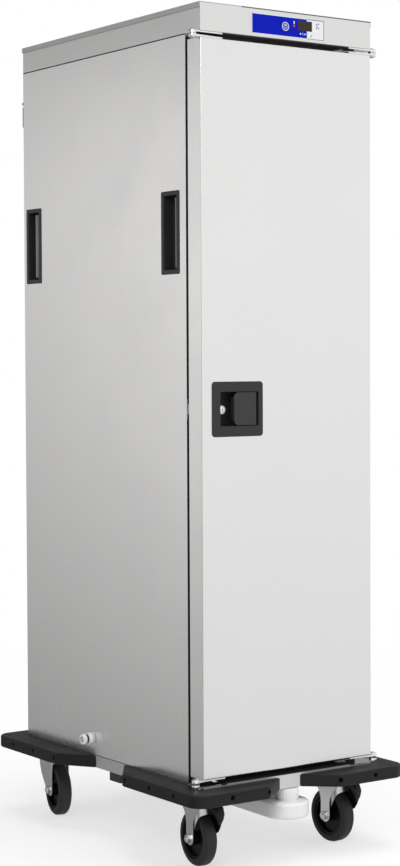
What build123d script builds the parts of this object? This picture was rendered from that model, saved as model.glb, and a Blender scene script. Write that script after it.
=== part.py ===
from build123d import *
import math
import os

# Heated banquet cart: an insulated cabinet on four swivel casters, with one full-height door,
# a control housing on top, black corner bumpers and a condensate tank under the frame.
# Millimetres. X runs to the right, Y to the back and Z up. The origin is on the floor, in the
# middle of the cart, and the door faces -Y.

os.makedirs("parts", exist_ok=True)

# Driving sizes of the cart
body_w = 470.0
cart_d = 761.0
caster_h = 163.0
frame_h = 29.0
door_lift = 17.0
door_h = 1600.0
door_t = 49.0
gasket_t = 9.0
top_gap = 13.8
housing_h = 61.7
bumper_reach = 60.0

# Turns, in degrees
full_turn = 360.0
quarter_turn = full_turn / 4

# Walls and clearances that the whole cart shares
sheet = 1.2
liner_t = 1.0
seat_gap = 0.3
fit_gap = 0.05
overrun = 1.0

# Levels and faces that follow from them
frame_top = caster_h + frame_h
door_z0 = frame_top + door_lift
door_z1 = door_z0 + door_h
housing_z0 = door_z1 + top_gap
cart_top = housing_z0 + housing_h
side_x = body_w / 2
front_y = -cart_d / 2
back_y = cart_d / 2
door_back_y = front_y + door_t
body_front_y = door_back_y + gasket_t
shell_front_y = body_front_y + sheet

# Inside of the cabinet
rim = 36.0
back_wall = 34.0
liner_x = side_x - rim
liner_y1 = back_y - back_wall
liner_z0 = door_z0 + rim
liner_z1 = door_z1 - rim


def block(xs, ys, zs):
    """A box from its spans along X, Y and Z."""
    middle = [(s[0] + s[1]) / 2 for s in (xs, ys, zs)]
    size = [s[1] - s[0] for s in (xs, ys, zs)]
    return Pos(*middle) * Box(*size)


def sym(half):
    """A span that is even about zero."""
    return (-half, half)


def rod(axis, centre, radius, span):
    """A cylinder along one axis; centre holds its two other coordinates."""
    middle = (span[0] + span[1]) / 2
    body = Cylinder(radius, span[1] - span[0])
    if axis == "x":
        return Pos(middle, centre[0], centre[1]) * Rot(0, quarter_turn, 0) * body
    if axis == "y":
        return Pos(centre[0], middle, centre[1]) * Rot(quarter_turn, 0, 0) * body
    return Pos(centre[0], centre[1], middle) * body


def prism(points, axis, span):
    """An outline, drawn in the plane across one axis and extruded along it."""
    face = make_face(Polyline(*points, close=True))
    return raise_face(face, axis, span)


def raise_face(face, axis, span):
    """A flat face, extruded along one axis; on Y its points are (x, z)."""
    length = span[1] - span[0]
    if axis == "x":
        return extrude(Pos(span[0], 0, 0) * (Plane.YZ * face), amount=length)
    if axis == "y":
        return extrude(Pos(0, span[1], 0) * (Plane.XZ * face), amount=length)
    return extrude(Pos(0, 0, span[0]) * face, amount=length)


def hexagon(axis, centre, across, span):
    """A hexagonal head or nut."""
    face = Pos(*centre) * RegularPolygon(across / 2, 6, major_radius=False)
    return raise_face(face, axis, span)


def flip_x(shape):
    return mirror(shape, about=Plane.YZ)


def flip_y(shape):
    return mirror(shape, about=Plane.XZ)


def corners(shape):
    """A shape in the right rear quarter, copied to all four, named by place."""
    return {
        "rr": shape,
        "rl": flip_x(shape),
        "fr": flip_y(shape),
        "fl": flip_x(flip_y(shape)),
    }


def save(name, shapes):
    """Writes one sub-part; each shape that it is given may hold several solids."""
    if not isinstance(shapes, (list, tuple)):
        shapes = [shapes]
    solids = [s for shape in shapes for s in shape.solids()]
    export_step(Compound(solids), "parts/" + name + ".step")


# Casters: where they swivel under the cabinet's body, how they trail and how each is turned at rest
swivel_side_inset = 47.0
swivel_end_inset = 51.0
trail = 24.0
wheel_r = 62.5
wheel_w = 32.0
turned = {"fl": -5.5, "fr": 3.0, "rl": -12.0, "rr": 8.0}
side_of = {"fl": (-1, -1), "fr": (1, -1), "rl": (-1, 1), "rr": (1, 1)}
plate_w = 85.0
plate_l = 100.0
plate_t = 3.0
bolt_dx = 30.0
bolt_dy = 40.0
bolt_d = 8.0
bolt_hole_d = 8.6
bolt_head_af = 13.0
bolt_head_h = 5.3
swivel_x = side_x - swivel_side_inset
swivel_y = {-1: body_front_y + swivel_end_inset, 1: back_y - swivel_end_inset}

# Base frame: welded tube with corner plates for the casters and one cross tube
rail_w = 40.0
rail_wall = 2.0
corner_plate_t = 4.0
corner_plate_margin = 6.0
cross_setback = 250.5
screw_d = 5.0
screw_hole_d = 5.2

# Bumpers: their plan, from the frame's corner, and the screws that hold them
bumper_drop = 1.0
bumper_step = 2.0
bumper_z0 = caster_h - bumper_drop
bumper_z1 = frame_top - bumper_step
bumper_corner_r = 38.0
bumper_soft_r = 4.0
bumper_knee_r = 14.0
bumper_front_end = 28.0
bumper_front_slant = 72.0
bumper_side_length = 320.0
bumper_side_slant = 86.0
bumper_hole_rise = 15.0
bumper_hole_z = bumper_z0 + bumper_hole_rise
bumper_holes_front = (135.0, 35.0)
bumper_holes_side = (30.0, 126.0, 224.0)
bumper_bore_d = 10.0
bumper_pass_d = 6.4
bumper_floor = 6.0
screw_head_d = 9.0
screw_head_h = 3.5
screw_grip = 8.0

cross_y = front_y + cross_setback
frame_in_x = side_x - rail_w
frame_in_y = back_y - rail_w


def bumper_screw_places():
    """Axis, position along the face and face of each screw of the right rear bumper."""
    places = [("y", side_x - x) for x in bumper_holes_front]
    places += [("x", back_y - y) for y in bumper_holes_side]
    return places


def bumper_bore(place, radius, span):
    """A bore square to the frame, its span counted outward from the frame's face."""
    axis, along = place
    if axis == "y":
        return rod("y", (along, bumper_hole_z), radius, (back_y + span[0], back_y + span[1]))
    return rod("x", (along, bumper_hole_z), radius, (side_x + span[0], side_x + span[1]))


def base_frame():
    frame = block(sym(side_x), sym(back_y), (caster_h, frame_top))
    frame -= block(sym(frame_in_x), sym(frame_in_y), (caster_h - overrun, frame_top + overrun))
    tube_z = (caster_h + rail_wall, frame_top - rail_wall)
    hollow = block(sym(side_x - rail_wall), sym(back_y - rail_wall), tube_z)
    hollow -= block(sym(frame_in_x + rail_wall), sym(frame_in_y + rail_wall), tube_z)
    frame -= hollow
    cross = block(sym(frame_in_x), (cross_y - rail_w / 2, cross_y + rail_w / 2), (caster_h, frame_top))
    half = rail_w / 2 - rail_wall
    cross -= block(sym(frame_in_x), (cross_y - half, cross_y + half), tube_z)
    frame += cross
    plate_x0 = swivel_x - plate_w / 2 - corner_plate_margin
    for sx, sy in side_of.values():
        edge_y = swivel_y[sy] - sy * (plate_l / 2 + corner_plate_margin)
        span_y = sorted((edge_y, sy * frame_in_y))
        plate = block((plate_x0, frame_in_x), span_y, (caster_h, caster_h + corner_plate_t))
        frame += plate if sx > 0 else flip_x(plate)
        for dx in (-bolt_dx, bolt_dx):
            for dy in (-bolt_dy, bolt_dy):
                centre = (sx * swivel_x + dx, swivel_y[sy] + dy)
                through = (caster_h - overrun, caster_h + corner_plate_t + overrun)
                frame -= rod("z", centre, bolt_hole_d / 2, through)
    for place in bumper_screw_places():
        hole = bumper_bore(place, screw_hole_d / 2, (-rail_wall - overrun, overrun))
        for piece in corners(hole).values():
            frame -= piece
    return frame


def bumper():
    """The right rear bumper: an L with a round corner and slanted ends."""
    out_x = side_x + bumper_reach
    out_y = back_y + bumper_reach
    side_end = back_y - bumper_side_length
    outline = [
        (bumper_front_end, back_y),
        (bumper_front_end + bumper_front_slant, out_y),
        (out_x, out_y),
        (out_x, side_end + bumper_side_slant),
        (side_x, side_end),
        (side_x, back_y),
    ]
    face = make_face(Polyline(*outline, close=True))
    knees = [v for v in face.vertices() if v.X > out_x - overrun or v.Y > out_y - overrun]
    round_corner = [v for v in knees if v.X > out_x - overrun and v.Y > out_y - overrun]
    knees = [v for v in knees if v not in round_corner]
    face = fillet(knees, bumper_knee_r)
    round_corner = [v for v in face.vertices() if v.X > out_x - overrun and v.Y > out_y - overrun]
    face = fillet(round_corner, bumper_corner_r)
    body = raise_face(face, "z", (bumper_z0, bumper_z1))
    rims = body.faces().sort_by(Axis.Z)[-1].edges() + body.faces().sort_by(Axis.Z)[0].edges()
    outer = [e for e in rims if not touches_frame(e)]
    body = fillet(outer, bumper_soft_r)
    for place in bumper_screw_places():
        body -= bumper_bore(place, bumper_bore_d / 2, (bumper_floor, bumper_reach + overrun))
        body -= bumper_bore(place, bumper_pass_d / 2, (-overrun, bumper_floor + overrun))
    return body


def touches_frame(edge):
    """True for an edge on one of the two faces that lie on the frame."""
    middle = edge.center()
    on_side = abs(middle.X - side_x) < seat_gap
    on_end = abs(middle.Y - back_y) < seat_gap
    return on_side or on_end


def bumper_screws():
    """Pan-head screws, five in each bumper, into the frame's wall."""
    screws = []
    for place in bumper_screw_places():
        head = bumper_bore(place, screw_head_d / 2, (bumper_floor, bumper_floor + screw_head_h))
        shank = bumper_bore(place, screw_d / 2, (bumper_floor - screw_grip - bumper_floor, bumper_floor))
        screws += list(corners(head + shank).values())
    return screws


save("base_frame", base_frame())
for place_name, piece in corners(bumper()).items():
    save("bumper_" + place_name, piece)
save("bumper_screws", bumper_screws())

# Caster head: plate with its race, the fork's cup under it and the king pin through both
race_d = 58.0
cup_d = 71.0
cup_h = 10.0
cup_soft_r = 3.0
race_h = 6.0
crown_h = 6.0
crown_d = 72.0
king_d = 12.0
king_head_d = 20.0
king_head_h = 3.0

# Fork, axle and wheel
leg_t = 2.5
leg_out = 23.0
leg_half = 15.0
leg_back = 33.0
web_h = 10.0
flare_drop = 46.0
ear_flare_drop = 40.0
flare_steps = 7
axle_d = 10.0
axle_head_af = 17.0
axle_head_h = 5.0
axle_nut_h = 8.0
axle_end = 3.0
hub_d = 30.0
hub_w = 40.0
tyre_in_r = 47.0
tyre_round = 10.0
core_w = 26.0
core_web_w = 10.0
core_rim_t = 6.0
wheel_gap = 0.1

race_z1 = caster_h - plate_t
race_z0 = race_z1 - race_h + seat_gap
cup_z1 = race_z1 - race_h
cup_z0 = cup_z1 - cup_h
crown_z0 = cup_z0 - crown_h
crown_plate_z1 = crown_z0 + leg_t
axle_y = -trail
fork_front_y = axle_y - leg_half
wheel_top = 2 * wheel_r

# Brake pedal of the front casters: it turns on a pin between two ears of the fork
pedal_reach = 9.0
pedal_rise = 11.0
pedal_pin_d = 5.0
pedal_ear_r = 7.0
pedal_w = 40.0
pedal_tip_w = 30.0
pedal_t = 5.0
pedal_hub_r = 5.5
pedal_top_reach = 3.0
pedal_top_rise = 27.0
pedal_knee_reach = 21.0
pedal_knee_rise = 25.0
pedal_tip_reach = 54.0
pedal_tip_drop = 21.0
pedal_pin_y = fork_front_y - pedal_reach
pedal_pin_z = wheel_top + pedal_rise


def caster_plate(name):
    """The bolted plate with the race that the fork turns on, and the king pin."""
    body = block(sym(plate_w / 2), sym(plate_l / 2), (race_z1, caster_h))
    body = fillet(body.edges().filter_by(Axis.Z), bumper_soft_r)
    body += rod("z", (0, 0), race_d / 2, (race_z0, race_z1))
    pin_z0 = crown_z0 - seat_gap
    body += rod("z", (0, 0), king_d / 2, (pin_z0, race_z1))
    body += rod("z", (0, 0), king_head_d / 2, (pin_z0 - king_head_h, pin_z0))
    for dx in (-bolt_dx, bolt_dx):
        for dy in (-bolt_dy, bolt_dy):
            body -= rod("z", (dx, dy), bolt_hole_d / 2, (race_z1 - overrun, caster_h + overrun))
    sx, sy = side_of[name]
    return Pos(sx * swivel_x, swivel_y[sy], 0) * body


def caster_bolts():
    """Hexagon bolts up through each plate into the frame."""
    bolts = []
    end_z = caster_h + corner_plate_t + bolt_head_h
    for sx, sy in side_of.values():
        for dx in (-bolt_dx, bolt_dx):
            for dy in (-bolt_dy, bolt_dy):
                centre = (sx * swivel_x + dx, swivel_y[sy] + dy)
                head = hexagon("z", centre, bolt_head_af, (race_z1 - bolt_head_h, race_z1))
                bolts.append(head + rod("z", centre, bolt_d / 2, (race_z1, end_z)))
    return bolts


def turn_caster(name, shape):
    """Puts a shape drawn about the swivel axis on its caster, turned as it rests."""
    sx, sy = side_of[name]
    return Pos(sx * swivel_x, swivel_y[sy], 0) * Rot(0, 0, turned[name]) * shape


def flare(y_in, y_out, z_low, z_high):
    """Hollow quarter curve by which a leg widens upwards to its crown or its ear."""
    points = []
    for k in range(flare_steps + 1):
        turn = math.radians(quarter_turn * k / flare_steps)
        y = y_out + (y_in - y_out) * math.cos(turn)
        points.append((y, z_low + (z_high - z_low) * math.sin(turn)))
    return points


def fork(braked):
    """Stamped fork: cup, crown and two legs, with ears for the pedal where it has one."""
    leg = [(fork_front_y, wheel_r), (fork_front_y, crown_plate_z1), (leg_back, crown_plate_z1)]
    leg += reversed(flare(axle_y + leg_half, leg_back, crown_z0 - flare_drop, crown_z0))
    leg.append((axle_y + leg_half, wheel_r))
    side = prism(leg, "x", (leg_out - leg_t, leg_out))
    side += rod("x", (axle_y, wheel_r), leg_half, (leg_out - leg_t, leg_out))
    if braked:
        ear = rod("x", (pedal_pin_y, pedal_pin_z), pedal_ear_r, (leg_out - leg_t, leg_out))
        ear_z0 = pedal_pin_z - pedal_ear_r
        ear_z1 = pedal_pin_z + pedal_ear_r
        root_y = fork_front_y + leg_t
        gusset = [(root_y, ear_z0 - ear_flare_drop), (root_y, ear_z1), (pedal_pin_y, ear_z1)]
        gusset += reversed(flare(fork_front_y, pedal_pin_y, ear_z0 - ear_flare_drop, ear_z0))
        side += ear + prism(gusset, "x", (leg_out - leg_t, leg_out))
    body = side + flip_x(side)
    body += block(sym(leg_out), (fork_front_y, leg_back), (crown_z0, crown_plate_z1))
    body += block(sym(leg_out), (fork_front_y, fork_front_y + leg_t), (crown_z0 - web_h, crown_plate_z1))
    body += rod("z", (0, 0), crown_d / 2, (crown_z0, cup_z0))
    cup = rod("z", (0, 0), cup_d / 2, (cup_z0, cup_z1))
    body += fillet(cup.edges().filter_by(GeomType.CIRCLE), cup_soft_r)
    body -= rod("z", (0, 0), king_d / 2 + fit_gap, (crown_z0 - overrun, cup_z1 + overrun))
    body -= rod("x", (axle_y, wheel_r), axle_d / 2 + fit_gap, sym(leg_out + overrun))
    if braked:
        body -= rod("x", (pedal_pin_y, pedal_pin_z), pedal_pin_d / 2 + fit_gap, sym(leg_out + overrun))
    return body


def axle():
    """Axle bolt: head on one leg, nut on the other."""
    centre = (axle_y, wheel_r)
    body = rod("x", centre, axle_d / 2, (-leg_out - axle_nut_h - axle_end, leg_out))
    body += hexagon("x", centre, axle_head_af, (leg_out, leg_out + axle_head_h))
    body += hexagon("x", centre, axle_head_af, (-leg_out - axle_nut_h, -leg_out))
    return body


def wheel_core():
    """Moulded wheel centre: rim, web and a wide hub with its bore."""
    core_r = tyre_in_r - wheel_gap
    centre = (axle_y, wheel_r)
    body = rod("x", centre, core_r, sym(core_w / 2))
    groove = rod("x", centre, core_r - core_rim_t, (core_web_w / 2, core_w / 2 + overrun))
    body -= groove
    body -= flip_x(groove)
    body += rod("x", centre, hub_d / 2, sym(hub_w / 2))
    body -= rod("x", centre, axle_d / 2 + fit_gap, sym(hub_w / 2 + overrun))
    return body


def tyre():
    """Rubber tyre with rounded shoulders."""
    centre = (axle_y, wheel_r)
    body = rod("x", centre, wheel_r, sym(wheel_w / 2))
    body = fillet(body.edges().filter_by(GeomType.CIRCLE), tyre_round)
    body -= rod("x", centre, tyre_in_r, sym(wheel_w / 2 + overrun))
    return body


def brake_pedal():
    """Pedal plate with its hub, and the pin through the fork's ears."""
    top_y, top_z = (fork_front_y - pedal_top_reach, wheel_top + pedal_top_rise)
    knee_y, knee_z = (fork_front_y - pedal_knee_reach, wheel_top + pedal_knee_rise)
    tip_y, tip_z = (fork_front_y - pedal_tip_reach, wheel_top - pedal_tip_drop)
    outline = [
        (top_y, top_z),
        (knee_y, knee_z),
        (tip_y, tip_z),
        (tip_y + pedal_t, tip_z - pedal_t / 2),
        (knee_y + pedal_t, knee_z - pedal_t),
        (top_y, top_z - pedal_t),
    ]
    plate = prism(outline, "x", sym(pedal_w / 2))
    taper = prism(
        [
            (pedal_w / 2, knee_z),
            (pedal_w / 2 + overrun, knee_z),
            (pedal_w / 2 + overrun, tip_z - pedal_t),
            (pedal_tip_w / 2, tip_z - pedal_t),
        ],
        "y",
        (tip_y - overrun, knee_y),
    )
    plate -= taper
    plate -= flip_x(taper)
    arm_w = pedal_w - 2 * pedal_t
    arm = block(
        sym(arm_w / 2),
        (pedal_pin_y - pedal_t / 2, pedal_pin_y + pedal_t / 2),
        (pedal_pin_z, top_z - pedal_t / 2),
    )
    hub = rod("x", (pedal_pin_y, pedal_pin_z), pedal_hub_r, sym(arm_w / 2))
    pin = rod("x", (pedal_pin_y, pedal_pin_z), pedal_pin_d / 2, sym(leg_out))
    return plate + arm + hub + pin


save("caster_plates", [caster_plate(name) for name in side_of])
save("caster_bolts", caster_bolts())
for name in side_of:
    braked = name in ("fl", "fr")
    save("fork_" + name, [turn_caster(name, fork(braked)), turn_caster(name, axle())])
    save("wheel_core_" + name, turn_caster(name, wheel_core()))
    save("tyre_" + name, turn_caster(name, tyre()))
    if braked:
        save("brake_pedal_" + name, turn_caster(name, brake_pedal()))

# Condensate tank: a flat canister that hangs from two rails and slides out to the front
tank_w = 104.0
tank_h = 36.0
tank_drop = 28.0
tank_reach = 36.0
tank_l = 286.5
tank_rise = 6.0
tank_wall = 2.5
tank_soft_r = 6.0
neck_x = 4.0
neck_setback = 48.0
neck_d = 40.0
neck_bore_d = 33.0
neck_h = 14.0
cap_d = 48.0
cap_gap = 1.5
cap_wall = 3.0
cap_ribs = 24
cap_rib_d = 1.6
rib_w = 36.0
rib_flange_w = 60.0
rib_h = 6.0
rib_flange_t = 4.0
rib_setback = 78.5
rib_l = 198.0

# Rails of the tank, folded from sheet, on the frame's underside
rail_t = 1.5
rail_lip_w = 10.0
rail_flange_w = 18.0
rail_inset = 8.5
rail_end_inset = 2.0
lip_setback = 32.0

tank_z1 = caster_h - tank_drop
tank_z0 = tank_z1 - tank_h
tank_front_y = front_y - tank_reach
tank_back_y = tank_front_y + tank_l
neck_y = tank_front_y + neck_setback
cap_z1 = caster_h - cap_gap
rib_z1 = tank_z1 + rib_h
rib_y = (tank_front_y + rib_setback, tank_front_y + rib_setback + rib_l)
rail_y = (front_y + rail_inset, cross_y + rail_w / 2 - rail_end_inset)
lip_y0 = rail_y[0] + lip_setback


def tank_body(inset, soft_r):
    """The canister's outer form, or with an inset its hollow."""
    half = tank_w / 2 - inset
    round_y = tank_front_y + tank_w / 2
    zs = (tank_z0 + inset, tank_z1 - inset)
    body = rod("z", (0, round_y), half, zs)
    body += block(sym(half), (round_y, tank_back_y - inset), zs)
    rims = body.faces().sort_by(Axis.Z)[-1].edges() + body.faces().sort_by(Axis.Z)[0].edges()
    body = fillet(rims, soft_r)
    slope = [
        (round_y, tank_z0 + inset),
        (tank_back_y + overrun, tank_z0 + tank_rise + inset),
        (tank_back_y + overrun, tank_z0 - overrun),
        (round_y, tank_z0 - overrun),
    ]
    return body - prism(slope, "x", sym(half + overrun))


def condensate_tank():
    body = tank_body(0, tank_soft_r)
    neck_z1 = tank_z1 + neck_h
    body += rod("z", (neck_x, neck_y), neck_d / 2, (tank_z1 - tank_wall, neck_z1))
    body -= tank_body(tank_wall, tank_soft_r - tank_wall)
    body -= rod("z", (neck_x, neck_y), neck_bore_d / 2, (tank_z1 - tank_wall - overrun, neck_z1 + overrun))
    body += block(sym(rib_w / 2), rib_y, (tank_z1, rib_z1))
    body += block(sym(rib_flange_w / 2), rib_y, (rib_z1, rib_z1 + rib_flange_t))
    return body


def tank_cap():
    """Screw cap over the neck, with grip ribs round it."""
    centre = (neck_x, neck_y)
    body = rod("z", centre, cap_d / 2 - cap_rib_d / 2, (tank_z1 + wheel_gap, cap_z1))
    for k in range(cap_ribs):
        turn = 2 * math.pi * k / cap_ribs
        reach = cap_d / 2 - cap_rib_d / 2
        place = (neck_x + reach * math.cos(turn), neck_y + reach * math.sin(turn))
        body += rod("z", place, cap_rib_d / 2, (tank_z1 + cap_wall, cap_z1 - cap_wall))
    inner = (tank_z1 + wheel_gap - overrun, tank_z1 + neck_h + seat_gap)
    body -= rod("z", centre, neck_d / 2 + seat_gap, inner)
    return body


def tank_rail():
    """The right rail: a lip under the tank's flange, a web and a flange on the frame."""
    web_x0 = rib_flange_w / 2 + seat_gap
    web_x1 = web_x0 + rail_t
    lip_z1 = rib_z1 - seat_gap
    lip_z0 = lip_z1 - rail_t
    body = block((web_x0, web_x1), rail_y, (cap_z1 - rail_t, caster_h))
    body += block((web_x0, web_x1), (lip_y0, rail_y[1]), (lip_z0, caster_h))
    body += block((web_x1 - rail_lip_w, web_x1), (lip_y0, rail_y[1]), (lip_z0, lip_z1))
    body += block((web_x0, web_x0 + rail_flange_w), rail_y, (caster_h - rail_t, caster_h))
    return body


save("condensate_tank", condensate_tank())
save("tank_cap", tank_cap())
save("tank_rails", [tank_rail(), flip_x(tank_rail())])

# Black pads under the side rails
pad_w = 35.0
pad_h = 20.0
pad_l = 49.0
pad_setback = 335.0
pad_y = (front_y + pad_setback, front_y + pad_setback + pad_l)
pad_soft_r = 3.0


def rail_pad():
    body = block((side_x - pad_w, side_x), pad_y, (caster_h - pad_h, caster_h))
    return fillet(body.edges().filter_by(Axis.Z), pad_soft_r)


save("rail_pads", [rail_pad(), flip_x(rail_pad())])

# Fan, heater and the holes that they need in the top
fan_setback = 440.5
fan_y = front_y + fan_setback
shaft_d = 8.0
shaft_hole_d = 20.0
heater_r = 110.0
heater_tube_d = 8.0
heater_leg_x = 15.0
heater_hole_d = 9.0
heater_leg_y = fan_y + math.sqrt(heater_r ** 2 - heater_leg_x ** 2)

# Side grips: black pockets sunk into both side walls, with a raised rim
grip_w = 70.0
grip_h = 182.0
grip_drop = 411.0
grip_front_inset = 118.0
grip_back_inset = 48.0
grip_z = door_z1 - grip_drop
grip_ys = (front_y + grip_front_inset, back_y - grip_back_inset)
grip_rim = 10.0
grip_proud = 1.5
grip_depth = 26.0
grip_wall = 2.0
grip_r = 4.0

# Power inlet on the back, at the upper left
inlet_inset = 43.0
inlet_drop = 87.5
inlet_x = inlet_inset - side_x
inlet_z = door_z1 - inlet_drop
inlet_w = 60.0
inlet_h = 55.0
inlet_t = 22.0
inlet_wall = 4.0
inlet_bore_d = 42.0
inlet_back_d = 38.0
inlet_back_t = 24.0
inlet_bore_t = 18.0
prong_d = 5.0
prong_l = 14.0
prong_dx = 9.5
flap_t = 5.0
flap_pin_d = 3.0
flap_knuckle_r = 3.5
flap_knuckle_w = 28.0
flap_pin_end = 4.0

shell_z = (frame_top, housing_z0)
shell_in_z = (frame_top + sheet, housing_z0 - sheet)
shell_in_x = side_x - sheet
shell_in_y1 = back_y - sheet


def grip_pocket():
    """The space that one right-hand grip takes behind the side sheet, at Y zero."""
    half_w = grip_w / 2 - grip_rim + grip_wall
    half_h = grip_h / 2 - grip_rim + grip_wall
    depth = grip_depth + grip_wall
    return block((side_x - depth, side_x), sym(half_w), (grip_z - half_h, grip_z + half_h))


def at_grips(shape):
    """A right-hand grip's shape at all four places."""
    right = [Pos(0, y, 0) * shape for y in grip_ys]
    return right + [flip_x(s) for s in right]


def top_holes(span):
    """Holes for the fan's shaft and the heater's legs, through one sheet or layer."""
    holes = [rod("z", (0, fan_y), shaft_hole_d / 2, span)]
    for x in (-heater_leg_x, heater_leg_x):
        holes.append(rod("z", (x, heater_leg_y), heater_hole_d / 2, span))
    return holes


def inlet_hole(span):
    return rod("y", (inlet_x, inlet_z), inlet_back_d / 2, span)


def cabinet_shell():
    """Outer sheet: both sides, back, floor and top, open to the front."""
    body = block(sym(side_x), (shell_front_y, back_y), shell_z)
    body -= block(sym(shell_in_x), (shell_front_y - overrun, shell_in_y1), shell_in_z)
    for pocket in at_grips(grip_pocket()):
        body -= pocket
    for hole in top_holes((shell_in_z[1] - overrun, shell_z[1] + overrun)):
        body -= hole
    body -= inlet_hole((shell_in_y1 - overrun, back_y + overrun))
    return body


def cabinet_liner():
    """Inner box of bright sheet."""
    out_x = liner_x + liner_t
    body = block(sym(out_x), (shell_front_y, liner_y1 + liner_t), (liner_z0 - liner_t, liner_z1 + liner_t))
    body -= block(sym(liner_x), (shell_front_y - overrun, liner_y1), (liner_z0, liner_z1))
    for hole in top_holes((liner_z1 - overrun, liner_z1 + liner_t + overrun)):
        body -= hole
    return body


def cabinet_insulation():
    """Foam between the outer sheet and the liner."""
    out_x = liner_x + liner_t
    body = block(sym(shell_in_x), (shell_front_y, shell_in_y1), shell_in_z)
    body -= block(
        sym(out_x),
        (shell_front_y - overrun, liner_y1 + liner_t),
        (liner_z0 - liner_t, liner_z1 + liner_t),
    )
    for pocket in at_grips(grip_pocket()):
        body -= pocket
    for hole in top_holes((liner_z1, housing_z0)):
        body -= hole
    body -= inlet_hole((back_y - inlet_back_t, back_y))
    return body


def front_frame():
    """Flat surround that closes the wall at the front and carries the gasket's seat."""
    body = block(sym(side_x), (body_front_y, shell_front_y), shell_z)
    body -= block(sym(liner_x), (body_front_y - overrun, shell_front_y + overrun), (liner_z0, liner_z1))
    return body


def side_grip():
    """One right-hand grip at Y zero: rim, pocket walls and pocket back."""
    half_w = grip_w / 2
    half_h = grip_h / 2
    rim_face = Pos(0, grip_z) * RectangleRounded(grip_w, grip_h, grip_r)
    body = raise_face(rim_face, "x", (side_x, side_x + grip_proud))
    body += grip_pocket()
    open_w = half_w - grip_rim
    open_h = half_h - grip_rim
    depth = (side_x - grip_depth, side_x + grip_proud + overrun)
    return body - block(depth, sym(open_w), (grip_z - open_h, grip_z + open_h))


save("cabinet_shell", cabinet_shell())
save("cabinet_liner", cabinet_liner())
save("cabinet_insulation", cabinet_insulation())
save("front_frame", front_frame())
save("side_grips", at_grips(side_grip()))

# Runners: two posts on each side carry flat ledges for trays
post_d = 31.0
tray_bearing = 8.5
tray_side_gap = 5.5
level_pitch = 72.0
first_level = 17.0
ledge_t = 3.0
ledge_inset = 19.5
ledge_end_gap = 12.0
post_w = 25.0
post_wall = 1.5
post_inset = 68.0
post_back_inset = 74.0

# Air baffle: a sheet under the fan that turns down in front of the back wall
plenum_h = 51.0
duct_d = 90.5
baffle_gap = 17.0
fan_hole_d = 140.0
slot_side_gap = 33.7
slot_bar = 30.0
slot_h = 6.0

guide_x = liner_x - post_d
tray_w = 2 * (guide_x - tray_side_gap)
ledge_x = tray_w / 2 - tray_bearing
duct_y = liner_y1 - duct_d
ledge_y = (body_front_y + ledge_inset, duct_y - ledge_end_gap)
post_ys = (ledge_y[0] + post_inset, ledge_y[1] - post_back_inset)
baffle_z = liner_z1 - plenum_h
levels = int((baffle_z - liner_z0 - first_level - ledge_t) / level_pitch)
post_z = (liner_z0, baffle_z)


def level_z(k):
    """Underside of one ledge, counted from the bottom."""
    return liner_z0 + first_level + k * level_pitch


def runners():
    """Posts and ledges of the right side."""
    pieces = []
    for y in post_ys:
        span = (y - post_w / 2, y + post_w / 2)
        post = block((guide_x, liner_x), span, post_z)
        hollow = (span[0] + post_wall, span[1] - post_wall)
        inside_x = (guide_x + post_wall, liner_x - post_wall)
        post -= block(inside_x, hollow, (post_z[0] - overrun, post_z[1] + overrun))
        pieces.append(post)
    for k in range(levels):
        z = level_z(k)
        pieces.append(block((ledge_x, guide_x), ledge_y, (z, z + ledge_t)))
    return pieces


def air_baffle():
    half = liner_x - seat_gap
    front = shell_front_y + sheet
    body = block(sym(half), (front, duct_y + liner_t), (baffle_z, baffle_z + liner_t))
    body += block(sym(half), (front, front + liner_t), (baffle_z, liner_z1 - seat_gap))
    body += block(sym(half), (duct_y, duct_y + liner_t), (liner_z0 + baffle_gap, baffle_z + liner_t))
    body -= rod("z", (0, fan_y), fan_hole_d / 2, (baffle_z - overrun, baffle_z + liner_t + overrun))
    slot_w = 2 * (half - slot_side_gap - slot_bar) / 3
    slot_pitch = slot_w + slot_bar
    for k in range(levels):
        z = level_z(k) + level_pitch / 2
        for x in (-slot_pitch, 0, slot_pitch):
            span = (x - slot_w / 2, x + slot_w / 2)
            body -= block(span, (duct_y - overrun, duct_y + liner_t + overrun), (z, z + slot_h))
    return body


save("runners_right", runners())
save("runners_left", [flip_x(piece) for piece in runners()])
save("air_baffle", air_baffle())

# Control housing, its lid and the fan and heater in it
lid_t = 1.5
lid_gap = 0.3
lid_flange = 12.0
vent_w = 40.0
vent_h = 4.0
vent_rows = 4
vent_pitch = 9.0
vent_x = 60.0
motor_d = 80.0
motor_h = 45.0
motor_flange_d = 112.0
motor_flange_t = 2.0
motor_bore = 30.0
impeller_d = 150.0
impeller_eye_d = 104.0
impeller_z0 = 10.0
impeller_h = 35.0
impeller_t = 1.5
impeller_hub_d = 26.0
blades = 8
blade_l = 44.0
blade_lean = 38.0
heater_z = 38.0
heater_flange_w = 56.0
heater_flange_d = 28.0
heater_leg_end = 14.0

# Label, display and buttons on the housing's front
label_w = 199.0
label_h = 42.5
label_shift = 1.5
label_rise = 7.2
label_t = 0.4
window_w = 39.0
window_h = 22.0
window_from_left = 126.0
window_rise = 16.0
window_proud = 0.1
power_from_left = 91.0
power_rise = 21.5
power_d = 21.0
key_rise = 9.0
down_from_left = 132.0
key_pitch = 14.0
key_d = 9.6
key_gap = 0.3
key_proud = 0.2
key_flange = 1.4
key_flange_t = 1.2
key_travel = 0.5
switch_gap = 0.8
switch_d = 6.0
board_from_left = 64.0
board_w = 110.0
board_t = 1.6
board_back = 9.0
board_margin = 4.0
foot_d = 24.0
foot_t = 1.5
display_depth = 7.0

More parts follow.
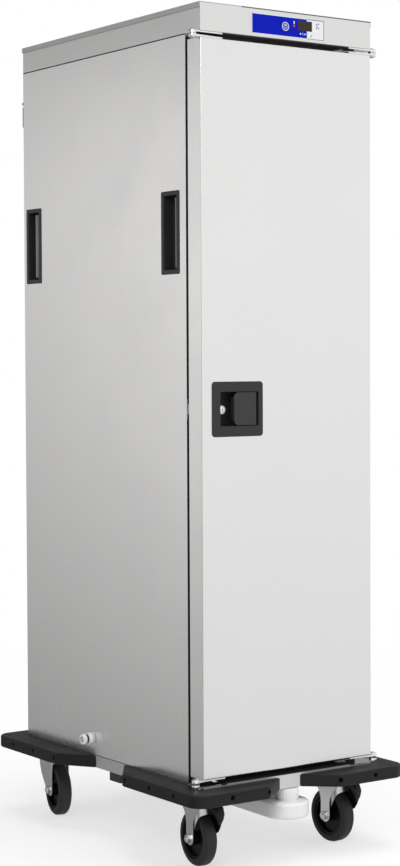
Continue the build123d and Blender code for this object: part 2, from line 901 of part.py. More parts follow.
housing_floor = housing_z0 + sheet
housing_top = cart_top - lid_t
fascia_back_y = front_y + sheet
label_front_y = front_y - label_t
label_x = (label_shift - label_w / 2, label_shift + label_w / 2)
label_z = (housing_z0 + label_rise, housing_z0 + label_rise + label_h)
window_x = (label_x[0] + window_from_left, label_x[0] + window_from_left + window_w)
window_z = (label_z[0] + window_rise, label_z[0] + window_rise + window_h)
board_x = (label_x[0] + board_from_left, label_x[0] + board_from_left + board_w)
key_z = label_z[0] + key_rise
down_x = label_x[0] + down_from_left
keys = {
    "power_button": (label_x[0] + power_from_left, label_z[0] + power_rise, power_d),
    "down_button": (down_x, key_z, key_d),
    "up_button": (down_x + key_pitch, key_z, key_d),
}
key_back_y = fascia_back_y + seat_gap + key_flange_t
board_y = key_back_y + board_back


def key_holes(span):
    """Holes for the three buttons through the housing's front or the label."""
    return [rod("y", (x, z), d / 2 + key_gap, span) for x, z, d in keys.values()]


def control_housing():
    """Open tray of folded sheet over the whole cabinet."""
    body = block(sym(side_x), (front_y, back_y), (housing_z0, housing_top))
    body -= block(sym(shell_in_x), (fascia_back_y, shell_in_y1), (housing_floor, housing_top + overrun))
    through = (front_y - overrun, fascia_back_y + overrun)
    for hole in key_holes(through):
        body -= hole
    body -= block(window_x, through, window_z)
    for hole in top_holes((housing_z0 - overrun, housing_floor + overrun)):
        body -= hole
    for x in (-vent_x, vent_x):
        for k in range(vent_rows):
            z = housing_floor + vent_pitch * (k + 1)
            across = (x - vent_w / 2, x + vent_w / 2)
            body -= block(across, (shell_in_y1 - overrun, back_y + overrun), (z, z + vent_h))
    return body


def top_lid():
    """Lid whose sides and back fold down over the housing."""
    out = side_x + lid_gap + lid_t
    out_y = back_y + lid_gap + lid_t
    body = block(sym(out), (front_y, out_y), (cart_top - lid_flange, cart_top))
    below = (cart_top - lid_flange - overrun, housing_top)
    return body - block(sym(out - lid_t), (front_y - overrun, out_y - lid_t), below)


def control_label():
    """Printed film on the housing's front, cut out for display and buttons."""
    body = block(label_x, (label_front_y, front_y), label_z)
    through = (label_front_y - overrun, front_y + overrun)
    for hole in key_holes(through):
        body -= hole
    return body - block(window_x, through, window_z)


def display_window():
    return block(window_x, (label_front_y - window_proud, fascia_back_y), window_z)


def push_button(x, z, d):
    """Cap through the label and the sheet, held from behind by its flange."""
    cap_y0 = label_front_y - key_proud
    flange_y0 = fascia_back_y + seat_gap
    body = rod("y", (x, z), d / 2, (cap_y0, key_back_y))
    return body + rod("y", (x, z), d / 2 + key_flange, (flange_y0, key_back_y))


def controller_board():
    """Board on its bracket, with the display module and a switch behind each button."""
    z0 = housing_floor + board_margin
    z1 = housing_top - board_margin
    body = block(board_x, (board_y, board_y + board_t), (z0, z1))
    bracket_y = (board_y + board_t, board_y + board_t + foot_t)
    body += block(board_x, bracket_y, (housing_floor, z1))
    foot_y = (bracket_y[0], bracket_y[0] + foot_d)
    body += block(board_x, foot_y, (housing_floor, housing_floor + foot_t))
    for x, z, d in keys.values():
        body += rod("y", (x, z), switch_d / 2, (key_back_y + switch_gap, board_y + board_t))
    inner_x = (window_x[0] + board_t, window_x[1] - board_t)
    inner_z = (window_z[0] + board_t, window_z[1] - board_t)
    body += block(inner_x, (fascia_back_y + seat_gap, board_y), inner_z)
    return body


def fan_motor():
    body = rod("z", (0, fan_y), motor_d / 2, (housing_floor, housing_floor + motor_h))
    body += rod("z", (0, fan_y), motor_flange_d / 2, (housing_floor, housing_floor + motor_flange_t))
    bore = (housing_floor - overrun, housing_floor + motor_bore)
    return body - rod("z", (0, fan_y), shaft_d / 2 + fit_gap, bore)


def fan_impeller():
    """Impeller with leaning blades between two discs, on the motor's shaft."""
    z0 = baffle_z + impeller_z0
    z1 = z0 + impeller_h
    shaft_end = housing_floor + motor_bore - seat_gap
    body = rod("z", (0, 0), impeller_hub_d / 2, (z0 + impeller_t, z1))
    body += rod("z", (0, 0), impeller_d / 2, (z1 - impeller_t, z1))
    ring = rod("z", (0, 0), impeller_d / 2, (z0, z0 + impeller_t))
    ring -= rod("z", (0, 0), impeller_eye_d / 2, (z0 - overrun, z0 + impeller_t + overrun))
    blade = block(sym(blade_l / 2), sym(impeller_t / 2), (z0, z1))
    middle = (impeller_d / 2 + impeller_hub_d / 2) / 2
    for k in range(blades):
        turn = full_turn * k / blades
        body += Rot(0, 0, turn) * Pos(middle, 0, 0) * Rot(0, 0, blade_lean) * blade
    body += ring
    body += rod("z", (0, 0), shaft_d / 2, (z1 - impeller_t, shaft_end))
    return Pos(0, fan_y, 0) * body


def heating_element():
    """Open ring round the impeller, with two legs up through the top to their flange."""
    z = baffle_z + heater_z
    end_z = housing_floor + heater_leg_end
    gap = math.degrees(math.asin(heater_leg_x / heater_r))
    arc = CenterArc((0, fan_y, z), heater_r, quarter_turn + gap, full_turn - 2 * gap)
    section = Plane(origin=arc @ 0, z_dir=arc % 0) * Circle(heater_tube_d / 2)
    body = sweep(section, path=arc)
    for x in (-heater_leg_x, heater_leg_x):
        body += rod("z", (x, heater_leg_y), heater_tube_d / 2, (z, end_z))
        body += Pos(x, heater_leg_y, z) * Sphere(heater_tube_d / 2)
    flange_y = (heater_leg_y - heater_flange_d / 2, heater_leg_y + heater_flange_d / 2)
    body += block(sym(heater_flange_w / 2), flange_y, (housing_floor, housing_floor + motor_flange_t))
    return body


save("control_housing", control_housing())
save("top_lid", top_lid())
save("control_label", control_label())
save("display_window", display_window())
for key_name, (x, z, d) in keys.items():
    save(key_name, push_button(x, z, d))
save("controller_board", controller_board())
save("fan_motor", fan_motor())
save("fan_impeller", fan_impeller())
save("heating_element", heating_element())

flap_y0 = back_y + inlet_t + seat_gap
flap_pin_y = flap_y0 + flap_t / 2
flap_pin_z = inlet_z + inlet_h / 2 + flap_knuckle_r


def power_inlet():
    """Inlet body on the back sheet, with its prongs and the ears of its flap."""
    xs = (inlet_x - inlet_w / 2, inlet_x + inlet_w / 2)
    zs = (inlet_z - inlet_h / 2, inlet_z + inlet_h / 2)
    body = block(xs, (back_y, back_y + inlet_t), zs)
    body = fillet(body.edges().filter_by(Axis.Y), inlet_wall)
    centre = (inlet_x, inlet_z)
    body += rod("y", centre, inlet_back_d / 2 - seat_gap, (back_y - inlet_back_t + seat_gap, back_y))
    bore_y0 = back_y + inlet_t - inlet_bore_t
    body -= rod("y", centre, inlet_bore_d / 2, (bore_y0, back_y + inlet_t + overrun))
    prong_y = (bore_y0, bore_y0 + prong_l)
    for x in (-prong_dx, prong_dx):
        body += rod("y", (inlet_x + x, inlet_z), prong_d / 2, prong_y)
    body += rod("y", (inlet_x, inlet_z + prong_dx), prong_d / 2, prong_y)
    ear_gap = flap_knuckle_w / 2 + seat_gap
    ear_y0 = back_y + inlet_t - inlet_wall
    ear_z1 = flap_pin_z + flap_knuckle_r
    for ear_x in ((xs[0], inlet_x - ear_gap), (inlet_x + ear_gap, xs[1])):
        body += rod("x", (flap_pin_y, flap_pin_z), flap_knuckle_r, ear_x)
        body += block(ear_x, (ear_y0, flap_pin_y), (flap_pin_z - flap_knuckle_r / 2, ear_z1))
        body += block(ear_x, (ear_y0, back_y + inlet_t), (zs[1] - inlet_wall, ear_z1))
    body -= rod("x", (flap_pin_y, flap_pin_z), flap_pin_d / 2 + fit_gap, (xs[0] - overrun, xs[1] + overrun))
    return body


def inlet_flap():
    """Sprung cover that hangs from a pin above the inlet."""
    xs = (inlet_x - inlet_w / 2, inlet_x + inlet_w / 2)
    z1 = inlet_z + inlet_h / 2 - flap_knuckle_r
    body = block(xs, (flap_y0, flap_y0 + flap_t), (inlet_z - inlet_h / 2, z1))
    body = fillet(body.edges().filter_by(Axis.Y), inlet_wall)
    knuckle_x = (inlet_x - flap_knuckle_w / 2, inlet_x + flap_knuckle_w / 2)
    body += block(knuckle_x, (flap_y0, flap_y0 + flap_t), (z1 - inlet_wall, flap_pin_z))
    body += rod("x", (flap_pin_y, flap_pin_z), flap_knuckle_r - seat_gap, knuckle_x)
    pin_x = (xs[0] + flap_pin_end, xs[1] - flap_pin_end)
    return body + rod("x", (flap_pin_y, flap_pin_z), flap_pin_d / 2, pin_x)


save("power_inlet", power_inlet())
save("inlet_flap", inlet_flap())

# Hinges: the door turns on two pins at its right edge. The left corners carry the same
# plates without pins, so that the door can be hung from either side.
hinge_out = 13.5
hinge_setback = 10.5
eye_r = 9.4
pin_d = 8.0
hinge_plate_t = 4.0
hinge_arm = 60.0
hinge_plate_inset = 2.5
hinge_plate_d = 26.0
foot_arm = 48.0
foot_plate_inset = 1.0
foot_plate_d = 39.5
foot_plate_t = 3.5
eye_lift = 0.3
pin_inset = 0.6

hinge_x = side_x + hinge_out
hinge_y = front_y + hinge_setback
hinge_plate_y = (front_y + hinge_plate_inset, front_y + hinge_plate_inset + hinge_plate_d)
foot_plate_y = (front_y + foot_plate_inset, front_y + foot_plate_inset + foot_plate_d)
upper_split = (door_z1 + housing_z0) / 2
lower_eye_z0 = bumper_z1 + eye_lift
lower_split = (lower_eye_z0 + door_z0) / 2


def hinge_plate(inner_x, ys, zs):
    """A plate and an arm to the eye, in plan the hull of both."""
    middle = ((inner_x + side_x) / 2, (ys[0] + ys[1]) / 2)
    plate = Pos(*middle) * Rectangle(side_x - inner_x, ys[1] - ys[0])
    round_end = Pos(hinge_x, hinge_y) * Circle(eye_r)
    return raise_face(make_hull(plate.edges() + round_end.edges()), "z", zs)


def eye(zs):
    return rod("z", (hinge_x, hinge_y), eye_r, zs)


def eye_bore(zs):
    return rod("z", (hinge_x, hinge_y), pin_d / 2 + fit_gap, zs)


def hinges_body():
    """Fixed plates at the top and bottom right, with their eyes."""
    inner = side_x - hinge_arm
    top = hinge_plate(inner, hinge_plate_y, (housing_z0 - hinge_plate_t, housing_z0))
    top += eye((upper_split + seat_gap / 2, housing_z0))
    top -= eye_bore((upper_split - overrun, housing_z0 + overrun))
    low = hinge_plate(side_x - foot_arm, foot_plate_y, (frame_top, frame_top + foot_plate_t))
    low += eye((lower_eye_z0, lower_split - seat_gap / 2))
    low -= eye_bore((lower_eye_z0 - overrun, lower_split + overrun))
    return [top, low]


def hinges_door():
    """Plates on the door's top and underside, with their eyes."""
    inner = side_x - hinge_arm
    top = hinge_plate(inner, hinge_plate_y, (door_z1, door_z1 + hinge_plate_t))
    top += eye((door_z1, upper_split - seat_gap / 2))
    top -= eye_bore((door_z1 - overrun, upper_split + overrun))
    low = hinge_plate(inner, hinge_plate_y, (door_z0 - hinge_plate_t, door_z0))
    low += eye((lower_split + seat_gap / 2, door_z0))
    low -= eye_bore((lower_split - overrun, door_z0 + overrun))
    return [top, low]


def hinge_pins():
    upper = rod("z", (hinge_x, hinge_y), pin_d / 2, (door_z1 + pin_inset, housing_z0 - pin_inset))
    lower = rod("z", (hinge_x, hinge_y), pin_d / 2, (lower_eye_z0 + pin_inset, door_z0 - pin_inset))
    return [upper, lower]


fixed = hinges_body()
save("hinge_plates_body", fixed + [flip_x(s) for s in fixed] + hinge_pins())
moving = hinges_door()
save("hinge_plates_door", moving + [flip_x(s) for s in moving])

# Latch: a flush housing in the door with a paddle, a lock and a sliding bolt behind it
latch_inset = 26.0
latch_w = 136.0
latch_h = 120.0
latch_rise = 3.0
latch_r = 8.0
latch_proud = 2.0
latch_left_rim = 21.0
latch_right_rim = 12.0
latch_low_rim = 23.0
latch_top_rim = 22.0
latch_depth = 30.0
latch_wall = 2.0
latch_soft_r = 4.0
paddle_w = 57.5
paddle_gap = 1.0
paddle_t = 4.0
paddle_recess = 1.7
paddle_r = 12.0
paddle_lip_t = 3.0
paddle_lip = 10.0
paddle_pin_inset = 7.0
paddle_pin_d = 4.0
lock_inset = 11.0
lock_drop = 1.3
lock_d = 18.0
lock_tail_d = 10.0
lock_face = 8.5
lock_slot_w = 2.2
lock_slot_l = 9.0
cam_l = 15.0
cam_w = 8.0
cam_t = 2.0
bolt_bar_t = 8.0
bolt_bar_h = 14.0
bolt_bar_end = 22.0
bolt_bar_gap = 0.8
guide_w = 10.0
guide_wall = 3.0
guide_insets = (82.0, 32.0)

# Keeper on the front surround: a plate with a post that reaches into the door's edge
keeper_inset = 1.0
keeper_w = 20.0
keeper_half_h = 22.0
keeper_t = 2.0
keeper_post_inset = 3.0
keeper_post_t = 3.0
keeper_post_half_h = 12.0
keeper_window = 1.5
keeper_clear = 3.0
nose_gap = 1.2

latch_mid_z = (door_z0 + door_z1) / 2 + latch_rise
latch_x = (latch_inset - side_x, latch_inset + latch_w - side_x)
latch_z = (latch_mid_z - latch_h / 2, latch_mid_z + latch_h / 2)
latch_open_x = (latch_x[0] + latch_left_rim, latch_x[1] - latch_right_rim)
latch_open_z = (latch_z[0] + latch_low_rim, latch_z[1] - latch_top_rim)
paddle_pin_x = latch_open_x[1] - paddle_pin_inset
paddle_left = paddle_pin_x - paddle_w
lock_x = latch_open_x[0] + lock_inset
lock_z = latch_mid_z - lock_drop
bolt_bar_x1 = latch_x[1] - bolt_bar_end
guide_xs = [latch_x[1] - inset for inset in guide_insets]
keeper_x = (keeper_inset - side_x, keeper_inset + keeper_w - side_x)
keeper_post_x = (keeper_x[0] + keeper_post_inset, keeper_x[0] + keeper_post_inset + keeper_post_t)
latch_floor_y = front_y + latch_depth
latch_back_y = latch_floor_y + latch_wall
paddle_front_y = front_y - latch_proud + paddle_recess
paddle_pin_y = paddle_front_y + paddle_t / 2 + paddle_pin_d / 2
bar_y0 = latch_back_y + cam_t + bolt_bar_gap
bar_y1 = bar_y0 + bolt_bar_t
bar_z = (latch_mid_z - bolt_bar_h / 2, latch_mid_z + bolt_bar_h / 2)
bar_x0 = keeper_post_x[1] + nose_gap
post_tip_y = bar_y0 - bolt_bar_t / 2
post_z_span = (latch_mid_z - keeper_post_half_h, latch_mid_z + keeper_post_half_h)
slot_x = (keeper_post_x[0] - keeper_clear / 2, keeper_post_x[1] + keeper_clear / 2)
slot_z = (post_z_span[0] - keeper_clear, post_z_span[1] + keeper_clear)
door_in_x = side_x - sheet
door_in_y1 = door_back_y - sheet


def latch_pocket():
    """The sunk part of the latch housing, which is also the hole for it."""
    xs = (latch_open_x[0] - latch_wall, latch_open_x[1] + latch_wall)
    zs = (latch_open_z[0] - latch_wall, latch_open_z[1] + latch_wall)
    return block(xs, (front_y, latch_back_y), zs)


def latch_housing():
    """Flange, pocket and the two guides of the bolt, with the paddle's pin beside it."""
    centre = ((latch_x[0] + latch_x[1]) / 2, (latch_z[0] + latch_z[1]) / 2)
    size = (latch_x[1] - latch_x[0], latch_z[1] - latch_z[0])
    plate = Pos(*centre) * RectangleRounded(*size, latch_r)
    flange = raise_face(plate, "y", (front_y - latch_proud, front_y))
    rims = flange.faces().sort_by(Axis.Y)[0].edges()
    body = fillet(rims, latch_proud / 2) + latch_pocket()
    open_centre = ((latch_open_x[0] + latch_open_x[1]) / 2, (latch_open_z[0] + latch_open_z[1]) / 2)
    open_size = (latch_open_x[1] - latch_open_x[0], latch_open_z[1] - latch_open_z[0])
    hollow = Pos(*open_centre) * RectangleRounded(*open_size, latch_soft_r)
    body -= raise_face(hollow, "y", (front_y - latch_proud - overrun, latch_floor_y))
    tail_y = (latch_floor_y - overrun, latch_back_y + overrun)
    body -= rod("y", (lock_x, lock_z), lock_tail_d / 2 + fit_gap, tail_y)
    for x in guide_xs:
        zs = (bar_z[0] - seat_gap - guide_wall, bar_z[1] + seat_gap + guide_wall)
        guide_y = (latch_back_y, bar_y1 + seat_gap + guide_wall / 2)
        guide = block((x - guide_w / 2, x + guide_w / 2), guide_y, zs)
        window = block(
            (x - guide_w / 2 - overrun, x + guide_w / 2 + overrun),
            (bar_y0 - seat_gap, bar_y1 + seat_gap),
            (bar_z[0] - seat_gap, bar_z[1] + seat_gap),
        )
        body += guide - window
    pin_z = (latch_open_z[0] - latch_wall / 2, latch_open_z[1] + latch_wall / 2)
    pin = rod("z", (paddle_pin_x, paddle_pin_y), paddle_pin_d / 2, pin_z)
    body -= pin
    return [body, pin]


def latch_paddle():
    """Pull paddle with rounded free corners, a finger lip and a knuckle on the pin."""
    z0 = latch_open_z[0] + paddle_gap
    z1 = latch_open_z[1] - paddle_gap
    width = paddle_pin_x - paddle_left
    face = Pos((paddle_left + paddle_pin_x) / 2, (z0 + z1) / 2) * Rectangle(width, z1 - z0)
    free = [v for v in face.vertices() if v.X < paddle_left + overrun]
    face = fillet(free, paddle_r)
    ys = (paddle_front_y, paddle_front_y + paddle_t)
    body = raise_face(face, "y", ys)
    rims = body.faces().sort_by(Axis.Y)[0].edges()
    rims = [e for e in rims if e.center().X < paddle_pin_x - overrun]
    body = fillet(rims, paddle_t / 4)
    lip_x = (paddle_left + paddle_lip_t / 2, paddle_left + 3 * paddle_lip_t / 2)
    body += block(lip_x, (ys[1] - paddle_t / 2, ys[1] + paddle_lip), (z0 + paddle_r, z1 - paddle_r))
    knuckle_r = paddle_pin_y - paddle_front_y
    body += rod("z", (paddle_pin_x, paddle_pin_y), knuckle_r, (z0, z1))
    bore = (z0 - overrun, z1 + overrun)
    return body - rod("z", (paddle_pin_x, paddle_pin_y), paddle_pin_d / 2 + fit_gap, bore)


def lock_cylinder():
    """Lock barrel with its key slot, and the cam behind the housing's floor."""
    face_y = front_y + lock_face
    body = rod("y", (lock_x, lock_z), lock_d / 2, (face_y, latch_floor_y - seat_gap))
    cam_y = (latch_back_y + seat_gap, latch_back_y + seat_gap + cam_t)
    body += rod("y", (lock_x, lock_z), lock_tail_d / 2, (latch_floor_y - seat_gap, cam_y[1]))
    body += block((lock_x - cam_w / 2, lock_x + cam_w / 2), cam_y, (lock_z, lock_z + cam_l))
    slot_x_span = (lock_x - lock_slot_w / 2, lock_x + lock_slot_w / 2)
    slot_z_span = (lock_z - lock_slot_l / 2, lock_z + lock_slot_l / 2)
    return body - block(slot_x_span, (face_y - overrun, face_y + lock_slot_l), slot_z_span)


def latch_bolt():
    """Flat bar with a bevelled nose that slides behind the housing."""
    nose = bar_x0 + bolt_bar_t / 2
    outline = [
        (bar_x0, bar_y0),
        (bolt_bar_x1, bar_y0),
        (bolt_bar_x1, bar_y1),
        (nose, bar_y1),
        (bar_x0, bar_y1 - bolt_bar_t / 2),
    ]
    return prism(outline, "z", bar_z)


def latch_keeper():
    """Screwed plate with the post and its window for the bolt."""
    zs = (latch_mid_z - keeper_half_h, latch_mid_z + keeper_half_h)
    body = block(keeper_x, (body_front_y - keeper_t, body_front_y), zs)
    body += block(keeper_post_x, (post_tip_y, body_front_y - keeper_t), post_z_span)
    window = block(
        (keeper_post_x[0] - overrun, keeper_post_x[1] + overrun),
        (bar_y0 - keeper_window, bar_y1 + keeper_window),
        (bar_z[0] - keeper_window, bar_z[1] + keeper_window),
    )
    return body - window


save("latch_housing", latch_housing())
save("latch_paddle", latch_paddle())
save("lock_cylinder", lock_cylinder())
save("latch_bolt", latch_bolt())
save("latch_keeper", latch_keeper())

# Door: outer pan, back sheet, foam between them and a gasket round the back
door_edge_r = 2.0
gasket_w = 12.0
gasket_inset = 24.0


def keeper_slot(ys):
    """Room for the keeper's post at the door's free edge."""
    return block(slot_x, ys, slot_z)


def door_skin():
    body = block(sym(side_x), (front_y, door_in_y1), (door_z0, door_z1))
    rims = body.faces().sort_by(Axis.Y)[0].edges()
    body = fillet(rims, door_edge_r)
    inside_z = (door_z0 + sheet, door_z1 - sheet)
    body -= block(sym(door_in_x), (front_y + sheet, door_in_y1 + overrun), inside_z)
    return body - latch_pocket()


def door_liner():
    body = block(sym(side_x), (door_in_y1, door_back_y), (door_z0, door_z1))
    return body - keeper_slot((door_in_y1 - overrun, door_back_y + overrun))


def door_insulation():
    body = block(sym(door_in_x), (front_y + sheet, door_in_y1), (door_z0 + sheet, door_z1 - sheet))
    body -= latch_pocket()
    channel_y = (post_tip_y - keeper_clear / 2, door_in_y1)
    body -= block((-door_in_x, bolt_bar_x1 + bolt_bar_h), channel_y, slot_z)
    return body


def door_gasket():
    out_x = side_x - gasket_inset
    z0 = door_z0 + gasket_inset
    z1 = door_z1 - gasket_inset
    ys = (door_back_y, body_front_y - seat_gap)
    body = block(sym(out_x), ys, (z0, z1))
    in_x = out_x - gasket_w
    return body - block(sym(in_x), (ys[0] - overrun, ys[1] + overrun), (z0 + gasket_w, z1 - gasket_w))


save("door_skin", door_skin())
save("door_liner", door_liner())
save("door_insulation", door_insulation())
save("door_gasket", door_gasket())

# Door buffers low on both sides: the open door comes to rest against one of them
buffer_setback = 470.0
buffer_rise = 35.0
buffer_y = front_y + buffer_setback
buffer_z = frame_top + buffer_rise
buffer_base_d = 27.0
buffer_head_d = 24.0
buffer_neck_d = 17.0
buffer_base_t = 7.0
buffer_neck_t = 5.0
buffer_head_t = 9.0


def door_buffer():
    neck_x0 = side_x + buffer_base_t
    head_x0 = neck_x0 + buffer_neck_t
    centre = (buffer_y, buffer_z)
    base = rod("x", centre, buffer_base_d / 2, (side_x, neck_x0))
    head = rod("x", centre, buffer_head_d / 2, (head_x0, head_x0 + buffer_head_t))
    head = fillet(head.edges().filter_by(GeomType.CIRCLE), buffer_base_t / 4)
    return base + rod("x", centre, buffer_neck_d / 2, (neck_x0, head_x0)) + head


save("door_buffers", [door_buffer(), flip_x(door_buffer())])
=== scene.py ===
import math

import bmesh
import bpy
from mathutils import Matrix, Vector


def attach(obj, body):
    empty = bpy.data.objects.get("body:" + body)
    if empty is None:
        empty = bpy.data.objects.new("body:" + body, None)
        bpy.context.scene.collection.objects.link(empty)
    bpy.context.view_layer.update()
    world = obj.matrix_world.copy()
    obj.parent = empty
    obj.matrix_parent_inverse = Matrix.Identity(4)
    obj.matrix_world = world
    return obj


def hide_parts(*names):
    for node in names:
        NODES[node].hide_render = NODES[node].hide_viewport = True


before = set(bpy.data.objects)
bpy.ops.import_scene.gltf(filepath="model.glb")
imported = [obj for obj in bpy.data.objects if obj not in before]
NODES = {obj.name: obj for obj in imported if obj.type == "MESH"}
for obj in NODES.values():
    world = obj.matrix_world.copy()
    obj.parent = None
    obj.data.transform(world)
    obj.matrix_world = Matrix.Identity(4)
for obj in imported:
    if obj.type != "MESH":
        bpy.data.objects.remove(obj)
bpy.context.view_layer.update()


# Studio.
# The cart stands alone on a pale floor that fades out into white. The studio is open
# and bright in front of the door. Behind the cart and to its left is a grey wall that
# is brightest just above the horizon and towards the front.
EYE = Vector((-2.6278, -3.8088, 1.11865))
YAW, PITCH, ROLL = (math.radians(turn) for turn in (34.850, -2.143, -0.254))
FOCAL = 80.894
SENSOR = 36
CLIP = (0.05, 100)
OPEN_WAY = (0.571, -0.821, 0.0)
OPEN_EDGE = (-0.35, 0.45)
WALL_HEIGHTS = (-0.5, 0.5)
WALL_SWEEP = (0.2, -1.0)
WALL_TINT = (1.0, 0.992, 0.988, 1)
# Brightness of the walls from low to high, and of the rear one from right to left.
REAR_WALL = ((0.0, 0.45), (0.1, 0.30), (0.2, 0.22), (0.3, 0.385), (0.38, 0.55), (0.48, 0.71), (0.55, 0.83),
             (0.61, 0.86), (0.66, 0.60), (0.70, 0.33), (0.8, 0.30), (1.0, 0.55))
FRONT_WALL = ((0.0, 0.72), (0.3, 0.885), (0.38, 0.93), (0.48, 0.985), (0.56, 1.03), (0.62, 1.01),
              (0.7, 0.96), (1.0, 0.92))
SIDE_SWEEP = ((0.0, 0.75), (0.29, 0.70), (0.40, 0.62), (0.47, 0.30), (0.588, 0.66), (0.613, 1.02),
              (0.633, 1.38), (0.667, 1.75), (0.714, 1.80), (0.784, 1.2), (0.877, 0.8), (1.0, 0.7))
FLOOR_R = 3.2
FLOOR_FADE = (0.5, FLOOR_R - 0.05)
FLOOR_COVER = 0.38
FLOOR_SPECKS = 90.0


def add_camera():
    """The photograph's viewpoint, level apart from a slight tilt down."""
    ahead = Vector((math.sin(YAW) * math.cos(PITCH), math.cos(YAW) * math.cos(PITCH), math.sin(PITCH)))
    level = Vector((math.cos(YAW), -math.sin(YAW), 0))
    upright = level.cross(ahead)
    right = math.cos(ROLL) * level + math.sin(ROLL) * upright
    up = math.cos(ROLL) * upright - math.sin(ROLL) * level
    data = bpy.data.cameras.new("camera")
    data.lens = FOCAL
    data.sensor_width = SENSOR
    data.clip_start, data.clip_end = CLIP
    camera = bpy.data.objects.new("camera", data)
    camera.matrix_world = Matrix.Translation(EYE) @ Matrix((right, up, -ahead)).transposed().to_4x4()
    bpy.context.scene.collection.objects.link(camera)
    bpy.context.scene.camera = camera


def grey(value):
    return (value, value, value, 1)


class Graph:
    """A node tree with short calls for adding and linking nodes."""

    def __init__(self, tree):
        self.tree = tree

    def add(self, kind, inputs=None, **settings):
        node = self.tree.nodes.new(kind)
        for key, value in settings.items():
            setattr(node, key, value)
        for key, value in (inputs or {}).items():
            self.put(value, node.inputs[key])
        return node

    def put(self, value, socket):
        if isinstance(value, bpy.types.NodeSocket):
            self.tree.links.new(value, socket)
        else:
            socket.default_value = value

    def math(self, operation, a, b=0.0):
        return self.add("ShaderNodeMath", {0: a, 1: b}, operation=operation).outputs[0]

    def vector(self, operation, a, b):
        return self.add("ShaderNodeVectorMath", {0: a, 1: b}, operation=operation).outputs

    def span(self, value, low, high, to_low=0.0, to_high=1.0, smooth=True):
        kind = "SMOOTHSTEP" if smooth else "LINEAR"
        inputs = {"Value": value, "From Min": low, "From Max": high, "To Min": to_low, "To Max": to_high}
        return self.add("ShaderNodeMapRange", inputs, interpolation_type=kind).outputs["Result"]

    def blend(self, a, b, share):
        """The sum of two noises, the first of them in this share."""
        return self.math("ADD", self.math("MULTIPLY", a, share), self.math("MULTIPLY", b, 1 - share))

    def mix(self, factor, a, b):
        node = self.add("ShaderNodeMix", data_type="RGBA")
        for index, value in ((0, factor), (6, a), (7, b)):
            self.put(value, node.inputs[index])
        return node.outputs[2]

    def ramp(self, value, stops):
        """Grey levels along a ramp whose first stop is at 0 and whose last is at 1."""
        node = self.add("ShaderNodeValToRGB", {"Fac": value})
        points = node.color_ramp.elements
        for place, _ in stops[1:-1]:
            points.new(place)
        for point, (_, level) in zip(points, stops):
            point.color = grey(level)
        return node.outputs["Color"]


def add_world():
    """Sky of the studio: plain white to the eye, graded for light and gloss."""
    world = bpy.data.worlds.new("studio")
    world.use_nodes = True
    bpy.context.scene.world = world
    g = Graph(world.node_tree)
    world.node_tree.nodes.clear()
    direction = g.add("ShaderNodeTexCoord").outputs["Generated"]
    parts = g.add("ShaderNodeSeparateXYZ", {0: direction}).outputs
    open_way = g.add("ShaderNodeCombineXYZ", dict(enumerate(OPEN_WAY))).outputs[0]
    front = g.span(g.vector("DOT_PRODUCT", direction, open_way)["Value"], *OPEN_EDGE)
    height = g.span(parts["Z"], *WALL_HEIGHTS, smooth=False)
    across = g.span(parts["X"], *WALL_SWEEP, smooth=False)
    rear_level = g.math("MULTIPLY", g.ramp(height, REAR_WALL), g.ramp(across, SIDE_SWEEP))
    level = g.mix(front, rear_level, g.ramp(height, FRONT_WALL))
    lit = g.add("ShaderNodeBackground", {"Color": g.mix(front, WALL_TINT, grey(1.0)), "Strength": level})
    seen = g.add("ShaderNodeBackground", {"Color": grey(1.0), "Strength": 1.0})
    to_eye = g.add("ShaderNodeLightPath").outputs["Is Camera Ray"]
    both = g.add("ShaderNodeMixShader", {0: to_eye, 1: lit.outputs[0], 2: seen.outputs[0]})
    out = g.add("ShaderNodeOutputWorld")
    g.put(both.outputs[0], out.inputs["Surface"])


def add_floor():
    """Pale disc that keeps the cart's soft shadow and fades out into the white."""
    bm = bmesh.new()
    bmesh.ops.create_circle(bm, cap_ends=True, segments=96, radius=FLOOR_R)
    mesh = bpy.data.meshes.new("floor")
    bm.to_mesh(mesh)
    bm.free()
    floor = bpy.data.objects.new("floor", mesh)
    bpy.context.scene.collection.objects.link(floor)
    mat = bpy.data.materials.new("floor_paint")
    mat.use_nodes = True
    g = Graph(mat.node_tree)
    place = g.add("ShaderNodeTexCoord").outputs["Object"]
    far = g.add("ShaderNodeVectorMath", {0: place}, operation="LENGTH").outputs["Value"]
    speck = g.add("ShaderNodeTexNoise", {"Vector": place, "Scale": FLOOR_SPECKS, "Detail": 3.0})
    paint = mat.node_tree.nodes["Principled BSDF"]
    g.put(g.mix(speck.outputs["Fac"], grey(0.95), grey(0.97)), paint.inputs["Base Color"])
    paint.inputs["Roughness"].default_value = 0.85
    paint.inputs["Specular IOR Level"].default_value = 0.1
    g.put(g.span(far, *FLOOR_FADE, FLOOR_COVER, 0.0), paint.inputs["Alpha"])
    mesh.materials.append(mat)
    floor.visible_glossy = False


def add_lamp(name, place, target, size, power, gloss=False):
    """Square soft box that points at the target."""
    data = bpy.data.lights.new(name, "AREA")
    data.shape = "SQUARE"
    data.size = size
    data.energy = power
    lamp = bpy.data.objects.new(name, data)
    lamp.location = place
    lamp.rotation_mode = "QUATERNION"
    lamp.rotation_quaternion = (Vector(target) - Vector(place)).to_track_quat("-Z", "Y")
    lamp.visible_glossy = gloss
    lamp.visible_camera = False
    bpy.context.scene.collection.objects.link(lamp)


bpy.context.scene.view_settings.view_transform = "Standard"
add_camera()
add_world()
add_floor()
add_lamp("lamp_top", place=(0.2, -0.4, 4.6), target=(0, 0, 0), size=3.0, power=110)
add_lamp("lamp_left", place=(-3.4, -3.0, 3.2), target=(0, 0, 0.6), size=1.6, power=60, gloss=True)


